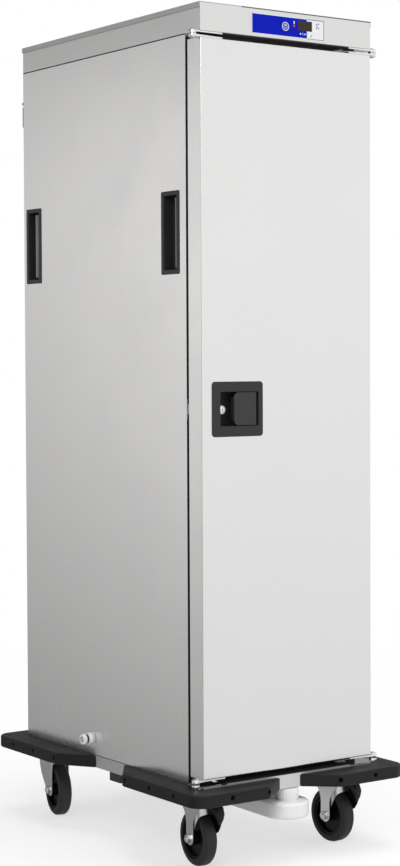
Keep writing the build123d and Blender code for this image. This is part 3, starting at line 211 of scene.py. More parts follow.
# Base frame.
# Welded square steel tube, ground and left bare, with four corner plates for the
# casters. The front rail carries a bright edge trim, and a black strip on its top is painted shade under the
# door.
MM = 0.001
# How fast a grain changes along X, Y and Z: slowly along its streaks.
LENGTHWISE = (1, 0.012, 1)
EVERY_WAY = (1, 1, 1)
FINE_GRAIN = 2600.0
STREAKS = 240.0
HANDLING = 5.0
DUST = 14.0
NOISE_SPAN = (0.25, 0.75)
SHARP = math.radians(34)


def finish_of(name, colour, rough, metal=0.0, **sockets):
    """A new material with its graph and its shader."""
    mat = bpy.data.materials.new(name)
    mat.use_nodes = True
    shader = mat.node_tree.nodes["Principled BSDF"]
    shader.inputs["Base Color"].default_value = (*colour, 1)
    shader.inputs["Roughness"].default_value = rough
    shader.inputs["Metallic"].default_value = metal
    for key, value in sockets.items():
        shader.inputs[key.replace("_", " ")].default_value = value
    return mat, Graph(mat.node_tree), shader


def grained(g, stretch, scale, detail, rough):
    """Noise drawn out along an axis, in the piece's own coordinates."""
    place = g.add("ShaderNodeTexCoord").outputs["Object"]
    drawn = g.vector("MULTIPLY", place, stretch)[0]
    inputs = {"Vector": drawn, "Scale": scale, "Detail": detail, "Roughness": rough}
    return g.add("ShaderNodeTexNoise", inputs).outputs["Fac"]


def shades(colour, spread):
    """A darker and a lighter version of a colour."""
    dark = tuple(c * (1 - spread) for c in colour) + (1,)
    light = tuple(min(1.0, c * (1 + spread)) for c in colour) + (1,)
    return dark, light


def rough_up(g, shader, wear, levels, grain, strength, depth):
    """Gloss that goes up and down with the wear, and the grain's own relief."""
    g.put(g.span(wear, *NOISE_SPAN, *levels), shader.inputs["Roughness"])
    bump = g.add("ShaderNodeBump", {"Height": grain, "Strength": strength, "Distance": depth})
    g.put(bump.outputs[0], shader.inputs["Normal"])


def brushed(name, colour, rough, stretch, spread=0.018, drawn=0.0, painted_side_shading=1.0):
    """Steel with a fine ground grain, faint streaks and cloudy handling marks.

    drawn stretches its highlights, and the last argument scales the colour of the faces
    that look left or right: painted shade where it is below 1, painted light where it is above.
    """
    mat, g, shader = finish_of(name, colour, rough, metal=1.0)
    if drawn:
        shader.inputs["Anisotropic"].default_value = drawn
        tangent = g.add("ShaderNodeTangent", direction_type="RADIAL", axis="Z")
        g.put(tangent.outputs[0], shader.inputs["Tangent"])
    fine = grained(g, stretch, FINE_GRAIN, 3.0, 0.6)
    broad = grained(g, stretch, STREAKS, 3.0, 0.5)
    cloud = grained(g, EVERY_WAY, HANDLING, 3.0, 0.5)
    streak = g.blend(fine, broad, 0.7)
    tone = g.mix(streak, *shades(colour, spread))
    # Painted shade and painted light: faces that look left or right get their colour scaled, darker below 1
    # and lighter above 1.
    if painted_side_shading != 1.0:
        normal = g.add("ShaderNodeTexCoord").outputs["Normal"]
        across = g.add("ShaderNodeSeparateXYZ", {0: normal}).outputs["X"]
        painted_side_factor = g.mix(g.math("ABSOLUTE", across), grey(1.0), grey(painted_side_shading))
        tone = g.vector("MULTIPLY", tone, painted_side_factor)[0]
    g.put(tone, shader.inputs["Base Color"])
    levels = (rough - 0.03, rough + 0.04)
    rough_up(g, shader, g.blend(streak, cloud, 0.4), levels, fine, strength=0.15, depth=0.00001)
    return mat


def moulded(name, colour, rough, spread=0.12, grain=900.0, depth=0.00004, **sockets):
    """Moulded plastic or rubber: a fine grain, uneven gloss and a little dust."""
    sockets.setdefault("Specular_IOR_Level", 0.25)
    mat, g, shader = finish_of(name, colour, rough, **sockets)
    fine = grained(g, EVERY_WAY, grain, 4.0, 0.6)
    cloud = grained(g, EVERY_WAY, DUST, 4.0, 0.6)
    g.put(g.mix(cloud, *shades(colour, spread)), shader.inputs["Base Color"])
    levels = (rough - 0.05, rough + 0.06)
    rough_up(g, shader, g.blend(fine, cloud, 0.4), levels, fine, strength=0.4, depth=depth)
    return mat


def dress(mat, *names):
    """Gives CAD pieces their material."""
    for name in names:
        for slot in NODES[name].material_slots:
            slot.material = mat


def box_of(name):
    """Low and high corners of a CAD piece, in millimetres."""
    place = NODES[name].matrix_world
    spans = zip(*(place @ Vector(corner) for corner in NODES[name].bound_box))
    return list(zip(*((round(min(span) / MM, 2), round(max(span) / MM, 2)) for span in spans)))


def piece_of(bm, name, mat, body):
    """Turns a mesh in mm into a piece of the cart that rides on a body."""
    bmesh.ops.recalc_face_normals(bm, faces=bm.faces)
    bmesh.ops.scale(bm, vec=(MM, MM, MM), verts=bm.verts)
    mesh = bpy.data.meshes.new(name)
    bm.to_mesh(mesh)
    bm.free()
    mesh.materials.append(mat)
    mesh.shade_smooth()
    mesh.set_sharp_from_angle(angle=SHARP)
    piece = bpy.data.objects.new(name, mesh)
    bpy.context.scene.collection.objects.link(piece)
    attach(piece, body)
    return piece


def add_bar(bm, xs, ys, zs, edge=0.4):
    """Rectangular bar from its spans along X, Y and Z, its edges broken."""
    size = [high - low for low, high in (xs, ys, zs)]
    made = bmesh.ops.create_cube(bm, size=1.0)["verts"]
    bmesh.ops.scale(bm, vec=size, verts=made)
    bmesh.ops.translate(bm, vec=[(low + high) / 2 for low, high in (xs, ys, zs)], verts=made)
    edges = dict.fromkeys(rim for vert in made for rim in vert.link_edges)
    width = min(edge, 0.3 * min(size))
    bmesh.ops.bevel(bm, geom=list(edges), offset=width, segments=2, affect="EDGES", clamp_overlap=True)


FRONT = box_of("base_frame")[0][1]
SIDE, BACK, FRAME_TOP = box_of("base_frame")[1]
BODY_FRONT = box_of("front_frame")[0][1]
THRESHOLD_SHADE_HALF = 168
THRESHOLD_SHADE_Y = (FRONT + 2.1, BODY_FRONT - 0.3)
THRESHOLD_SHADE_Z = (FRAME_TOP - 0.1, FRAME_TOP + 1.1)
TRIM_HALF = 172
TRIM_Y = (FRONT - 0.1, FRONT + 1.9)
TRIM_Z = (FRAME_TOP - 1.4, FRAME_TOP + 2.0)

# The frame's faces that look left or right are painted 15 percent darker: painted shade.
frame_steel = brushed("frame_steel", (0.68, 0.68, 0.68), 0.34, LENGTHWISE, painted_side_shading=0.85)
# Dark colour for the strips on the rail's top under the door and under the housing above it: painted shade in
# those gaps.
gap_shade_rubber = moulded("gap_shade_rubber", (0.055, 0.055, 0.056), 0.5)
dress(frame_steel, "base_frame")
bm = bmesh.new()
add_bar(bm, (-THRESHOLD_SHADE_HALF, THRESHOLD_SHADE_HALF), THRESHOLD_SHADE_Y, THRESHOLD_SHADE_Z)
piece_of(bm, "threshold_shade_strip", gap_shade_rubber, "cabinet")
bm = bmesh.new()
add_bar(bm, (-TRIM_HALF, TRIM_HALF), TRIM_Y, TRIM_Z, edge=0.6)
piece_of(bm, "threshold_trim", frame_steel, "cabinet")


# Bumpers.
# Four black rubber corner bumpers, one to each corner of the frame, each held by
# countersunk screws that sit deep in their holes.
CORNERS = ("fl", "fr", "rl", "rr")
BUMPERS = ["bumper_" + corner for corner in CORNERS]
FLAT = math.radians(0.5)


def soften(width, *names, segments=2):
    """Breaks the sharp edges of CAD pieces by a small radius."""
    for name in names:
        piece = NODES[name]
        weld = piece.modifiers.new("weld", "WELD")
        weld.merge_threshold = 0.00001
        flat = piece.modifiers.new("flat", "DECIMATE")
        flat.decimate_type = "DISSOLVE"
        flat.angle_limit = FLAT
        edge = piece.modifiers.new("edge", "BEVEL")
        edge.width = width * MM
        edge.segments = segments
        edge.limit_method = "ANGLE"
        edge.angle_limit = SHARP
        edge.harden_normals = True
        edge.use_clamp_overlap = False
        edge.miter_outer = "MITER_ARC"


bumper_rubber = moulded("bumper_rubber", (0.0085, 0.0085, 0.009), 0.5, grain=500.0)
screw_zinc = brushed("screw_zinc", (0.30, 0.30, 0.31), 0.42, EVERY_WAY, spread=0.16)
dress(bumper_rubber, *BUMPERS)
dress(screw_zinc, "bumper_screws")
soften(1.2, *BUMPERS)


# Caster forks.
# Pressed zinc-plated forks on a ball race, bolted up through the corner plates.
# The crown is flared into the legs, and the axle is a bolt with a lock nut.
FORKS = ["fork_" + corner for corner in CORNERS]
# Where the casters swivel, and how many degrees each is turned at rest.
SWIVEL_X = {"l": 47 - SIDE, "r": SIDE - 47}
SWIVEL_Y = {"f": BODY_FRONT + 51, "r": BACK - 51}
TURNED = {"fl": -5.5, "fr": 3.0, "rl": -12.0, "rr": 8.0}
CHEEK_X = (20.6, 22.9)
FRONT_CHEEK = ((-38, 86), (-39.5, 96), (-42.5, 106), (-47, 115), (-53, 123), (-60, 129), (-65, 133),
               (-66, 137), (-38, 137))
REAR_CHEEK = ((-38, 142), (-38, 84), (-35, 66), (-24, 48), (-12, 50), (6, 64), (24, 78), (40, 93), (50, 109),
              (56, 126), (58, 142))
PLATE_RIM = 0.5
# Lower edge of the skirt's right half, from the middle to the cheek.
SKIRT_HALF = ((0, -64, 121), (9, -63, 120), (16, -60, 117), (18.6, -57.5, 113), (20.4, -54, 107),
              (21.4, -49, 98), (21.6, -44, 88))
SKIRT = [(-x, y, z) for x, y, z in SKIRT_HALF[:0:-1]] + list(SKIRT_HALF)
SKIRT_TOP = 136
SKIRT_T = 1.6
SKIRT_FLARE = 60


def on_side(side, span):
    """A span along X on the right, or its mirror image on the left where side is -1."""
    return sorted(side * x for x in span)


def add_plate(bm, outline, xs):
    """Flat plate across X with a (y, z) outline, its rims broken."""
    near, far = ([bm.verts.new((x, y, z)) for y, z in outline] for x in xs)
    made = [bm.faces.new(near), bm.faces.new(far[::-1])]
    for i in range(len(outline)):
        j = (i + 1) % len(outline)
        made.append(bm.faces.new((near[i], far[i], far[j], near[j])))
    rims = [edge for face in made[:2] for edge in face.edges]
    bmesh.ops.bevel(bm, geom=rims, offset=PLATE_RIM, segments=2, affect="EDGES", clamp_overlap=True)


def add_skirt(bm):
    """Pressed skirt of a fork's crown, bowed forward from cheek to cheek over the wheel."""
    rows = []
    for grow, lift, top in ((0, 0, False), (SKIRT_T, 0.5, False), (SKIRT_T, -0.5, True), (0, 0, True)):
        rows.append([bm.verts.new((x * (1 + grow / SKIRT_FLARE), y - grow, (SKIRT_TOP if top else z) + lift))
                     for x, y, z in SKIRT])
    for a, b in zip(rows, rows[1:] + rows[:1]):
        for i in range(len(SKIRT) - 1):
            bm.faces.new((a[i], a[i + 1], b[i + 1], b[i]))
    for end in (0, -1):
        bm.faces.new([row[end] for row in rows])


def set_on_caster(bm, corner):
    """Turns a shape made about the swivel to the way that caster stands, and puts it there."""
    end, side = corner
    swivel = Matrix.Translation((SWIVEL_X[side], SWIVEL_Y[end], 0))
    place = swivel @ Matrix.Rotation(math.radians(TURNED[corner]), 4, "Z")
    bmesh.ops.transform(bm, matrix=place, verts=bm.verts)


# Faces of this zinc that look left or right are painted half again lighter: painted light.
zinc = brushed("zinc_plate", (0.50, 0.505, 0.515), 0.30, EVERY_WAY, spread=0.16, painted_side_shading=1.5)
dress(zinc, "caster_plates", "caster_bolts", *FORKS)
soften(0.6, "caster_plates", *FORKS)
for corner in CORNERS:
    bm = bmesh.new()
    for side in (-1, 1):
        add_plate(bm, FRONT_CHEEK if corner[0] == "f" else REAR_CHEEK, on_side(side, CHEEK_X))
    if corner[0] == "f":
        add_skirt(bm)
    set_on_caster(bm, corner)
    piece_of(bm, "fork_cheeks_" + corner, zinc, "fork_" + corner)


# Wheels.
# Moulded black centres, each with a grey rubber tyre vulcanised round it, that
# turn on the forks' axle bolts.
wheel_plastic = moulded("wheel_plastic", (0.003, 0.003, 0.0035), 0.36, Specular_IOR_Level=0.2)
tyre_rubber = moulded("tyre_rubber", (0.023, 0.023, 0.0235), 0.5, grain=700.0)
for corner in CORNERS:
    dress(wheel_plastic, "wheel_core_" + corner)
    dress(tyre_rubber, "tyre_" + corner)


# Brake pedals.
# A black moulded foot pedal on each front caster, over the back of the wheel. It
# turns on a pin between two ears of the fork.
# Sections of the hood, from its root to its toe: inner and outer (y, z), low and high x.
PEDAL = (((-44, 147), (-44, 152), -17, 17), ((-60, 143.5), (-62, 151.5), -17, 19),
         ((-74, 138), (-78, 149), -8, 23), ((-85, 128), (-91, 141), 0, 27), ((-90, 117), (-97, 127), 5, 26.5),
         ((-92, 108), (-97, 115), 9, 23), ((-90, 101), (-94, 106), 13, 20))
PEDAL_STEPS = 20
PEDAL_BOXY = 0.6
PEDAL_SIDE = ((-46, 118), (-52, 143), (-66, 147), (-82, 143), (-92, 133), (-96, 119), (-93.5, 106), (-88, 94),
              (-80, 83), (-66, 76), (-58, 90), (-50, 104))
PEDAL_SIDE_X = (16.8, 20.1)
PEDAL_WEB = ((-44, 148), (-43, 134), (-46, 130.5), (-50, 130.5), (-53, 134), (-56, 146))
PEDAL_WEBS_X = ((-16, -12), (12, 16))
PEDAL_HUB = ((0, -17.5), (5.0, -17.5), (5.6, -17), (5.6, 17), (5.0, 17.5), (0, 17.5))
PEDAL_PIN = (-48, 136)
TURN = {"X": Matrix.Rotation(math.radians(90), 4, "Y"), "Y": Matrix.Rotation(math.radians(90), 4, "X"),
        "Z": Matrix()}


def add_turned(bm, profile, centre, axis, steps=32):
    """Turned shape: (radius, height) pairs swept round an axis through a centre."""
    middle = Vector(centre)
    rings = []
    for radius, height in profile:
        if radius == 0:
            rings.append([bm.verts.new(middle + TURN[axis] @ Vector((0, 0, height)))])
            continue
        ring = []
        for step in range(steps):
            a = 2 * math.pi * step / steps
            spoke = Vector((radius * math.cos(a), radius * math.sin(a), height))
            ring.append(bm.verts.new(middle + TURN[axis] @ spoke))
        rings.append(ring)
    for a, b in zip(rings, rings[1:]):
        for step in range(steps):
            after = (step + 1) % steps
            if len(a) == 1:
                bm.faces.new((a[0], b[step], b[after]))
            elif len(b) == 1:
                bm.faces.new((a[step], b[0], a[after]))
            else:
                bm.faces.new((a[step], b[step], b[after], a[after]))
    for ring in (rings[0], rings[-1]):
        if len(ring) > 1:
            bm.faces.new(ring)


def add_pedal(bm):
    """Rounded hood over the tread that runs out into a toe wing, on a cheek, two webs and a hub."""
    rings = []
    for inner, outer, low_x, high_x in PEDAL:
        ring = []
        for step in range(PEDAL_STEPS):
            a = 2 * math.pi * step / PEDAL_STEPS
            across = math.copysign(abs(math.cos(a)) ** PEDAL_BOXY, math.cos(a))
            through = 0.5 + 0.5 * math.copysign(abs(math.sin(a)) ** PEDAL_BOXY, math.sin(a))
            x = (low_x + high_x) / 2 + across * (high_x - low_x) / 2
            ring.append(bm.verts.new((x, *(i + (o - i) * through for i, o in zip(inner, outer)))))
        rings.append(ring)
    for a, b in zip(rings, rings[1:]):
        for i in range(PEDAL_STEPS):
            j = (i + 1) % PEDAL_STEPS
            bm.faces.new((a[i], a[j], b[j], b[i]))
    bm.faces.new(rings[0])
    bm.faces.new(rings[-1])
    add_plate(bm, PEDAL_SIDE, PEDAL_SIDE_X)
    for xs in PEDAL_WEBS_X:
        add_plate(bm, PEDAL_WEB, xs)
    add_turned(bm, PEDAL_HUB, (0, *PEDAL_PIN), "X", steps=24)


pedal_plastic = moulded("pedal_plastic", (0.007, 0.007, 0.0075), 0.4)
for corner in ("fl", "fr"):
    bm = bmesh.new()
    add_pedal(bm)
    set_on_caster(bm, corner)
    pedal = piece_of(bm, "pedal_wing_" + corner, pedal_plastic, "pedal_" + corner)
    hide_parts("brake_pedal_" + corner)


# Condensate tank.
# White blow-moulded tray with a filler neck. It slides out to the front on two
# angle rails under the frame.
tank_plastic = moulded("tank_plastic", (0.80, 0.80, 0.795), 0.42, spread=0.02)
dress(tank_plastic, "condensate_tank", "tank_cap")
dress(frame_steel, "tank_rails")
soften(0.3, "tank_cap")


# Rail pads.
# Black plastic packers, one under each side rail, a little in front of the middle.
# Their corners are rounded.
black_plastic = moulded("black_plastic", (0.021, 0.021, 0.0215), 0.42, Specular_IOR_Level=0.35)
dress(black_plastic, "rail_pads")
soften(1.0, "rail_pads")


# Cabinet shell.
# One wrapper of satin stainless sheet round both sides and the back, ground
# upright. Thin black seals close its joints with the housing above and the frame below.
UPRIGHT = (1, 1, 0.012)
SHELL_TOP = box_of("cabinet_shell")[1][2]
SEAM_X = (SIDE - 0.8, SIDE + 0.35)
SEAM_Y = (BODY_FRONT, BACK - 0.2)
SEAMS_Z = ((SHELL_TOP - 1.5, SHELL_TOP + 1.2), (FRAME_TOP - 0.7, FRAME_TOP + 0.9))

side_steel = brushed("side_steel", (0.77, 0.767, 0.764), 0.26, UPRIGHT, drawn=0.5)
# Near-black rubber for the seals, the gasket and the buffer rings, also used as painted shade in the lock's
# keyway.
seal_rubber = moulded("seal_rubber", (0.012, 0.012, 0.013), 0.55)
dress(side_steel, "cabinet_shell")
bm = bmesh.new()
for side in (-1, 1):
    for zs in SEAMS_Z:
        add_bar(bm, on_side(side, SEAM_X), SEAM_Y, zs, edge=0.3)
piece_of(bm, "shell_seams", seal_rubber, "cabinet")


# Liner.
# Bright stainless inner box with its wool behind, and the frame at the front that
# joins it to the shell. Black strips on that frame break the path of the heat.
BREAKER_HALF = SIDE - 0.8
BREAKER_Z = (FRAME_TOP + 1.3, SHELL_TOP - 5.3)
BREAKER = ((0, 0.2), (0, -1.1), (1, -1.5), (20, -1.5), (21.5, -0.9), (21.5, 0.2))


def add_mitred(bm, half_x, zs, face_y, profile):
    """Closed (inset, y) profile on a face, carried round a rectangle with mitred corners."""
    low_z, high_z = zs
    rings = []
    for side, top in ((-1, False), (1, False), (1, True), (-1, True)):
        ring = []
        for inset, y in profile:
            z = high_z - inset if top else low_z + inset
            ring.append(bm.verts.new((side * (half_x - inset), face_y + y, z)))
        rings.append(ring)
    count = len(profile)
    for a, b in zip(rings, rings[1:] + rings[:1]):
        for step in range(count):
            after = (step + 1) % count
            bm.faces.new((a[step], a[after], b[after], b[step]))


inner_steel = brushed("inner_steel", (0.74, 0.74, 0.735), 0.18, UPRIGHT)
wool = moulded("mineral_wool", (0.62, 0.52, 0.28), 0.95, spread=0.25, grain=260.0, depth=0.002)
dress(inner_steel, "cabinet_liner", "front_frame")
dress(wool, "cabinet_insulation")
bm = bmesh.new()
add_mitred(bm, BREAKER_HALF, BREAKER_Z, BODY_FRONT, BREAKER)
piece_of(bm, "breaker_strip", seal_rubber, "cabinet")


# Side grips.
# Black moulded recessed grips riveted into both sides. A paler bar on the finger
# lip inside each pocket is a painted highlight on the black plastic.
GRIP_FOOT, GRIP_TOP = (corner[2] for corner in box_of("side_grips"))
HIGHLIGHT_LIP_X = (SIDE - 9, SIDE - 1)
HIGHLIGHT_LIPS_Y = ((-281.9, -280.1), (324.6, 326.4))
HIGHLIGHT_LIP_Z = (GRIP_FOOT + 15, GRIP_TOP - 15)

# Grey used for painted highlights on the grip lips and for painted shade in the buffers' hollow noses.
lip_light_and_recess_shade = moulded("lip_light_and_recess_shade", (0.30, 0.30, 0.30), 0.3, spread=0.1)
dress(black_plastic, "side_grips")
soften(1.2, "side_grips")
bm = bmesh.new()
for side in (-1, 1):
    for ys in HIGHLIGHT_LIPS_Y:
        add_bar(bm, on_side(side, HIGHLIGHT_LIP_X), ys, HIGHLIGHT_LIP_Z, edge=0.5)
piece_of(bm, "grip_lip_highlights", lip_light_and_recess_shade, "cabinet")


# Runners.
# Folded stainless ledges for the trays, and the baffle that guides the warm air
# down the back.
dress(inner_steel, "runners_right", "runners_left", "air_baffle")


# Control housing.
# Folded stainless box for the controls, with a darker satin lid on top. A black strip
# under it is painted shade above the door; a dark strip at the lid's front is a painted shadow under its hem.
ACROSS = (0.012, 1, 1)
HOUSING_FOOT = box_of("control_housing")[0][2]
SHADE_STRIP_HALF = 174
SHADE_STRIP_Y = (FRONT + 1.9, BODY_FRONT - 2.0)
SHADE_STRIP_Z = (HOUSING_FOOT - 1.9, HOUSING_FOOT + 0.1)
LID_SIDE, _, LID_TOP = box_of("top_lid")[1]
HEM_SHADOW_X = (-126, LID_SIDE - 0.4)
HEM_SHADOW_Y = (FRONT - 0.7, FRONT + 0.3)
HEM_SHADOW_Z = (LID_TOP - 2.5, LID_TOP - 0.1)

# The housing's faces that look left or right are painted about a tenth darker: painted shade.
housing_steel = brushed("housing_steel", (0.745, 0.743, 0.738), 0.30, ACROSS, drawn=0.3, painted_side_shading=0.89)
lid_steel = brushed("lid_steel", (0.50, 0.495, 0.485), 0.32, LENGTHWISE)
# Dark strip along the lid's front edge: a painted shadow at the hem.
hem_shadow_paint = brushed("hem_shadow_paint", (0.16, 0.15, 0.14), 0.5, ACROSS)
dress(housing_steel, "control_housing")
dress(lid_steel, "top_lid")
soften(0.5, "control_housing", "top_lid")
bm = bmesh.new()
add_bar(bm, (-SHADE_STRIP_HALF, SHADE_STRIP_HALF), SHADE_STRIP_Y, SHADE_STRIP_Z)
piece_of(bm, "housing_shade_strip", gap_shade_rubber, "cabinet")
bm = bmesh.new()
add_bar(bm, HEM_SHADOW_X, HEM_SHADOW_Y, HEM_SHADOW_Z, edge=0.3)
piece_of(bm, "lid_hem_shadow", hem_shadow_paint, "cabinet")


# Control panel.
# Printed film on the housing: a blue field with a power key, a thermometer, a
# display and two arrow keys, and a white field with small marks beside it.
LABEL_X, FILM, LABEL_Z = box_of("control_label")[0]
UNDER_INK = FILM + 0.1
INK = FILM - 0.07
SECOND_INK = FILM - 0.14
STEM_INK = FILM - 0.2
# Printed patches, from the label's lower left corner, each as its spans along X and Z.
BLUE_EDGES = (((-0.6, 151), (42.0, 43.1)), ((-0.6, 151), (-0.7, 0.4)), ((-0.9, 0.3), (-0.7, 43.1)))
WHITE_FIELD = ((150.5, 198.6), (-0.4, 42.6))
WHITE_EDGES = (((150.5, 198.8), (41.6, 42.9)), ((197.6, 198.9), (-0.2, 42.9)), ((152, 198.8), (-0.5, 0.3)))
TUBE = ((113.6, 116.4), (28.5, 35.5))
STEM = ((114.2, 115.8), (25, 30))
KEY_RULE = ((139.2, 140.0), (6.0, 12.2))
# The small marks, each with its middle and half its size.
DOTS = ((177.5, 33, 1.3), (182.5, 34.5, 1.6), (179, 28.5, 1.6), (183.5, 25.5, 1.3), (177, 24, 1.2),
        (164, 7.5, 1.3), (161.5, 4.5, 1.0))
BULB = (LABEL_X + 115, UNDER_INK, LABEL_Z + 25)
BULB_DISC = ((0, 0.3), (2.9, 0.3), (3.1, 0.15), (3.1, 0))
KEY_FACE = box_of("power_button")[0][1]
KEY_INK = (KEY_FACE - 0.15, KEY_FACE + 0.05)
POWER_RINGS = ((8.0, 9.6), (4.0, 5.0))
RING_PROUD = 0.2
POWER_BAR_X = (-0.9, 0.9)
POWER_BAR_Z = (-0.3, 6.3)
ARROWS = (("down", -2.3), ("up", 2.3))


def middle_of(name):
    """The middle of a CAD piece's box, in millimetres."""
    return [(low + high) / 2 for low, high in zip(*box_of(name))]


def span_from(start, span):
    """A span that is given from a start, such as a middle or a corner."""
    return [start + reach for reach in span]


def add_print(bm, xs, zs, y=INK):
    """One flat printed patch, a hair proud of the film."""
    add_bar(bm, span_from(LABEL_X, xs), (y, UNDER_INK), span_from(LABEL_Z, zs), edge=0.05)


def add_ring(bm, inner, outer, centre):
    """Flat printed ring that faces the front."""
    section = ((inner, 0), (inner, RING_PROUD), (outer, RING_PROUD), (outer, 0), (inner, 0))
    add_turned(bm, section, centre, "Y", steps=40)


def add_arrow(bm, x, z, size, ys):
    """Small flat triangle that points right, or left where its size is negative."""
    tip, tail = x + size, x - size
    outline = ((tip, z), (tail, z + abs(size)), (tail, z - abs(size)))
    front, back = ([bm.verts.new((px, y, pz)) for px, pz in outline] for y in ys)
    bm.faces.new(front)
    bm.faces.new(back[::-1])
    for i in range(3):
        j = (i + 1) % 3
        bm.faces.new((front[i], front[j], back[j], back[i]))


label_blue = moulded("label_blue", (0.0, 0.008, 0.40), 0.4, spread=0.05, Specular_IOR_Level=0.08)
label_white = moulded("label_white", (0.73, 0.735, 0.77), 0.4, spread=0.02, Specular_IOR_Level=0.2)
label_rule = moulded("label_rule", (0.03, 0.035, 0.14), 0.4, spread=0.05, Specular_IOR_Level=0.1)
label_red = moulded("label_red", (0.42, 0.05, 0.09), 0.4, spread=0.05, Specular_IOR_Level=0.1)
window_dark = moulded("window_dark", (0.030, 0.021, 0.016), 0.3, spread=0.1, Specular_IOR_Level=0.2)
board_green = moulded("board_green", (0.02, 0.16, 0.06), 0.35)
dress(label_blue, "control_label", "power_button", "down_button", "up_button")
dress(window_dark, "display_window")
dress(board_green, "controller_board")
bm = bmesh.new()
for patch in (*BLUE_EDGES, WHITE_FIELD):
    add_print(bm, *patch)
piece_of(bm, "label_white_field", label_white, "cabinet")
bm = bmesh.new()
for patch in WHITE_EDGES:
    add_print(bm, *patch, y=SECOND_INK)
for x, z, half in DOTS:
    add_print(bm, (x - half, x + half), (z - half, z + half), y=SECOND_INK)
piece_of(bm, "label_rules", label_rule, "cabinet")
bm = bmesh.new()
add_print(bm, *TUBE)
add_print(bm, *KEY_RULE)
piece_of(bm, "label_marks", label_white, "cabinet")
bm = bmesh.new()
add_turned(bm, BULB_DISC, BULB, "Y", steps=20)
add_print(bm, *STEM, y=STEM_INK)
piece_of(bm, "label_bulb", label_red, "cabinet")
bm = bmesh.new()
x, _, z = middle_of("power_button")
for inner, outer in POWER_RINGS:
    add_ring(bm, inner, outer, (x, KEY_INK[1], z))
add_bar(bm, span_from(x, POWER_BAR_X), KEY_INK, span_from(z, POWER_BAR_Z), edge=0.05)
piece_of(bm, "power_print", label_white, "power_key")
for name, size in ARROWS:
    bm = bmesh.new()
    x, _, z = middle_of(name + "_button")
    add_arrow(bm, x, z, size, (KEY_INK[0], FILM))
    piece_of(bm, name + "_print", label_white, name + "_key")


# Fan and heater.
# Motor through the housing's floor with its impeller below, and a ring element
# round them. They drive the warm air down behind the baffle.
motor_metal = brushed("motor_metal", (0.45, 0.45, 0.46), 0.45, EVERY_WAY, spread=0.1)
dress(motor_metal, "fan_motor", "fan_impeller", "heating_element")


# Power inlet.
# Dark moulded appliance inlet on the back, with a blue plastic flap on a sprung
# pin above it.
inlet_plastic = moulded("inlet_plastic", (0.03, 0.04, 0.075), 0.45)
flap_plastic = moulded("flap_plastic", (0.03, 0.09, 0.36), 0.4)
dress(inlet_plastic, "power_inlet")
dress(flap_plastic, "inlet_flap")
soften(0.8, "inlet_flap")


# Hinges.
# Chromed plates at the corners of cabinet and door, pinned at the right. The pair
# at the left is spare, for a door hung the other way. Each eye has a domed cap.
EYE_X = SIDE + 13.5
EYE_Y = FRONT + 10.5
DOME = ((0, 4.6), (3.2, 4.3), (6.0, 3.2), (8.0, 1.6), (8.7, 0))
DOOR_FOOT, DOOR_TOP = (corner[2] for corner in box_of("door_skin"))
# The caps that ride on each body: the level of each, and 1 where it points up.
CAPS = {"cabinet": ((HOUSING_FOOT - 0.2, 1),), "door": ((DOOR_TOP + 0.3, -1), (DOOR_FOOT - 0.3, 1))}

chrome = brushed("chrome_plate", (0.80, 0.80, 0.81), 0.10, EVERY_WAY, spread=0.02)
dress(chrome, "hinge_plates_body", "hinge_plates_door")
soften(0.8, "hinge_plates_body", "hinge_plates_door", segments=3)
for body, caps in CAPS.items():
    bm = bmesh.new()
    for side in (-1, 1):
        for z, way in caps:
            add_turned(bm, [(r, way * rise) for r, rise in DOME], (side * EYE_X, EYE_Y, z), "Z")
    piece_of(bm, "hinge_domes_" + body, chrome, body)


# Latch.
# Black moulded latch let into the door: a bezel, a pocket, a pull paddle, and a
# chromed key lock. Behind it a plated bolt runs into the keeper on the cabinet.
LOCK_X = middle_of("lock_cylinder")[0]
LOCK_Y = box_of("lock_cylinder")[0][1] + 0.05
LOCK_Z = box_of("lock_cylinder")[0][2] + 9
LOCK_NOSE = ((0, 2.1), (3.4, 2.0), (5.6, 1.5), (7.2, 0.6), (7.8, 0))
SLOT_SHADE_X = (-1.0, 1.0)
SLOT_SHADE_Y = (-2.3, -1.05)
SLOT_SHADE_Z = (-2.8, 2.8)

latch_plastic = moulded("latch_plastic", (0.030, 0.030, 0.031), 0.42, Specular_IOR_Level=0.35)
lock_steel = brushed("lock_steel", (0.90, 0.90, 0.90), 0.36, EVERY_WAY)
dress(black_plastic, "latch_housing")
dress(latch_plastic, "latch_paddle")
dress(zinc, "latch_bolt", "latch_keeper")
dress(chrome, "lock_cylinder")
bm = bmesh.new()
add_turned(bm, LOCK_NOSE, (LOCK_X, LOCK_Y, LOCK_Z), "Y", steps=40)
piece_of(bm, "lock_nose", lock_steel, "lock")
# A dark bar proud of the lock's nose stands for the key slot: painted shade in the keyway.
bm = bmesh.new()
add_bar(bm, span_from(LOCK_X, SLOT_SHADE_X), span_from(LOCK_Y, SLOT_SHADE_Y), span_from(LOCK_Z, SLOT_SHADE_Z), edge=0.1)
piece_of(bm, "lock_slot_shade", seal_rubber, "lock")


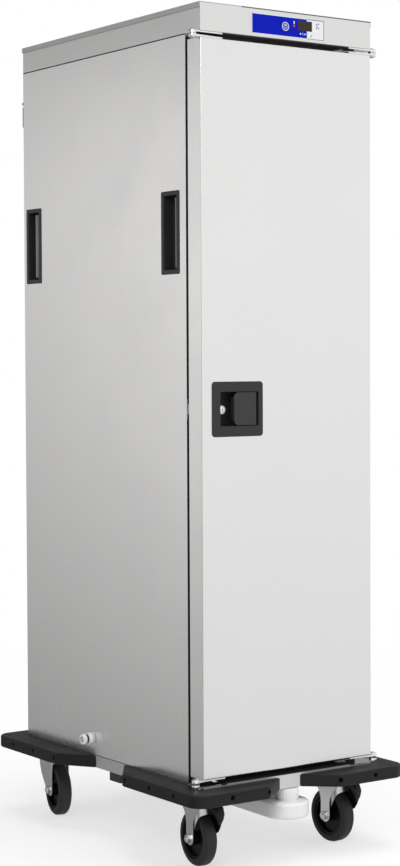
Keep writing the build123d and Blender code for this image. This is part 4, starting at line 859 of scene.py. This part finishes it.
# Door.
# Double-skinned door: a satin stainless front pan folded round the wool, and a
# bright stainless back sheet.
door_steel = brushed("door_steel", (0.79, 0.79, 0.785), 0.27, UPRIGHT, spread=0.008, drawn=0.5)
dress(door_steel, "door_skin")
dress(inner_steel, "door_liner")
dress(wool, "door_insulation")


# Door gasket.
# Extruded rubber seal that runs round the door's back: a foot, two bellows and a
# lip that meets the front of the cabinet.
GASKET = ((0.4, 0.1), (0.2, 1.5), (1.6, 2.9), (0.3, 4.3), (1.0, 6.1), (2.6, 7.7), (4.6, 8.4),
          (7.4, 8.4), (9.4, 7.7), (11.0, 6.1), (11.7, 4.3), (10.4, 2.9), (11.8, 1.5), (11.6, 0.1))
(_, DOOR_BACK, GASKET_FOOT), (GASKET_HALF, _, GASKET_TOP) = box_of("door_gasket")

bm = bmesh.new()
add_mitred(bm, GASKET_HALF, (GASKET_FOOT, GASKET_TOP), DOOR_BACK, GASKET)
gasket = piece_of(bm, "gasket_bellows", seal_rubber, "door")
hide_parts("door_gasket")


# Door buffers.
# White plastic cups, one screwed to each side of the cabinet low down, where the
# folded-back door lands. Each has a black rubber ring round its neck.
BUFFER = middle_of("door_buffers")
BUFFER_SLEEVE = ((8.0, 7.1), (10.4, 7.3), (10.8, 9.5), (10.4, 11.7), (8.0, 11.9), (8.0, 7.1))
BUFFER_RECESS_SHADE = ((0, 21.2), (7.0, 21.2), (7.4, 20.9))
BUFFER_SCREW = ((0, 22.2), (2.4, 22.0), (3.4, 21.1))


def add_buffer_parts(name, profile, mat, steps=32):
    """A turned part of both buffers: (radius, reach) pairs out from the cabinet's side."""
    bm = bmesh.new()
    for side in (-1, 1):
        add_turned(bm, [(r, side * (SIDE + reach)) for r, reach in profile], BUFFER, "X", steps)
    piece_of(bm, name, mat, "cabinet")


buffer_plastic = moulded("buffer_plastic", (0.76, 0.76, 0.755), 0.42, spread=0.03)
dress(buffer_plastic, "door_buffers")
add_buffer_parts("buffer_sleeves", BUFFER_SLEEVE, seal_rubber)
# A grey disc in each cup's hollow nose is painted shade in that hollow.
add_buffer_parts("buffer_recess_shades", BUFFER_RECESS_SHADE, lip_light_and_recess_shade)
add_buffer_parts("buffer_screws", BUFFER_SCREW, zinc, steps=24)
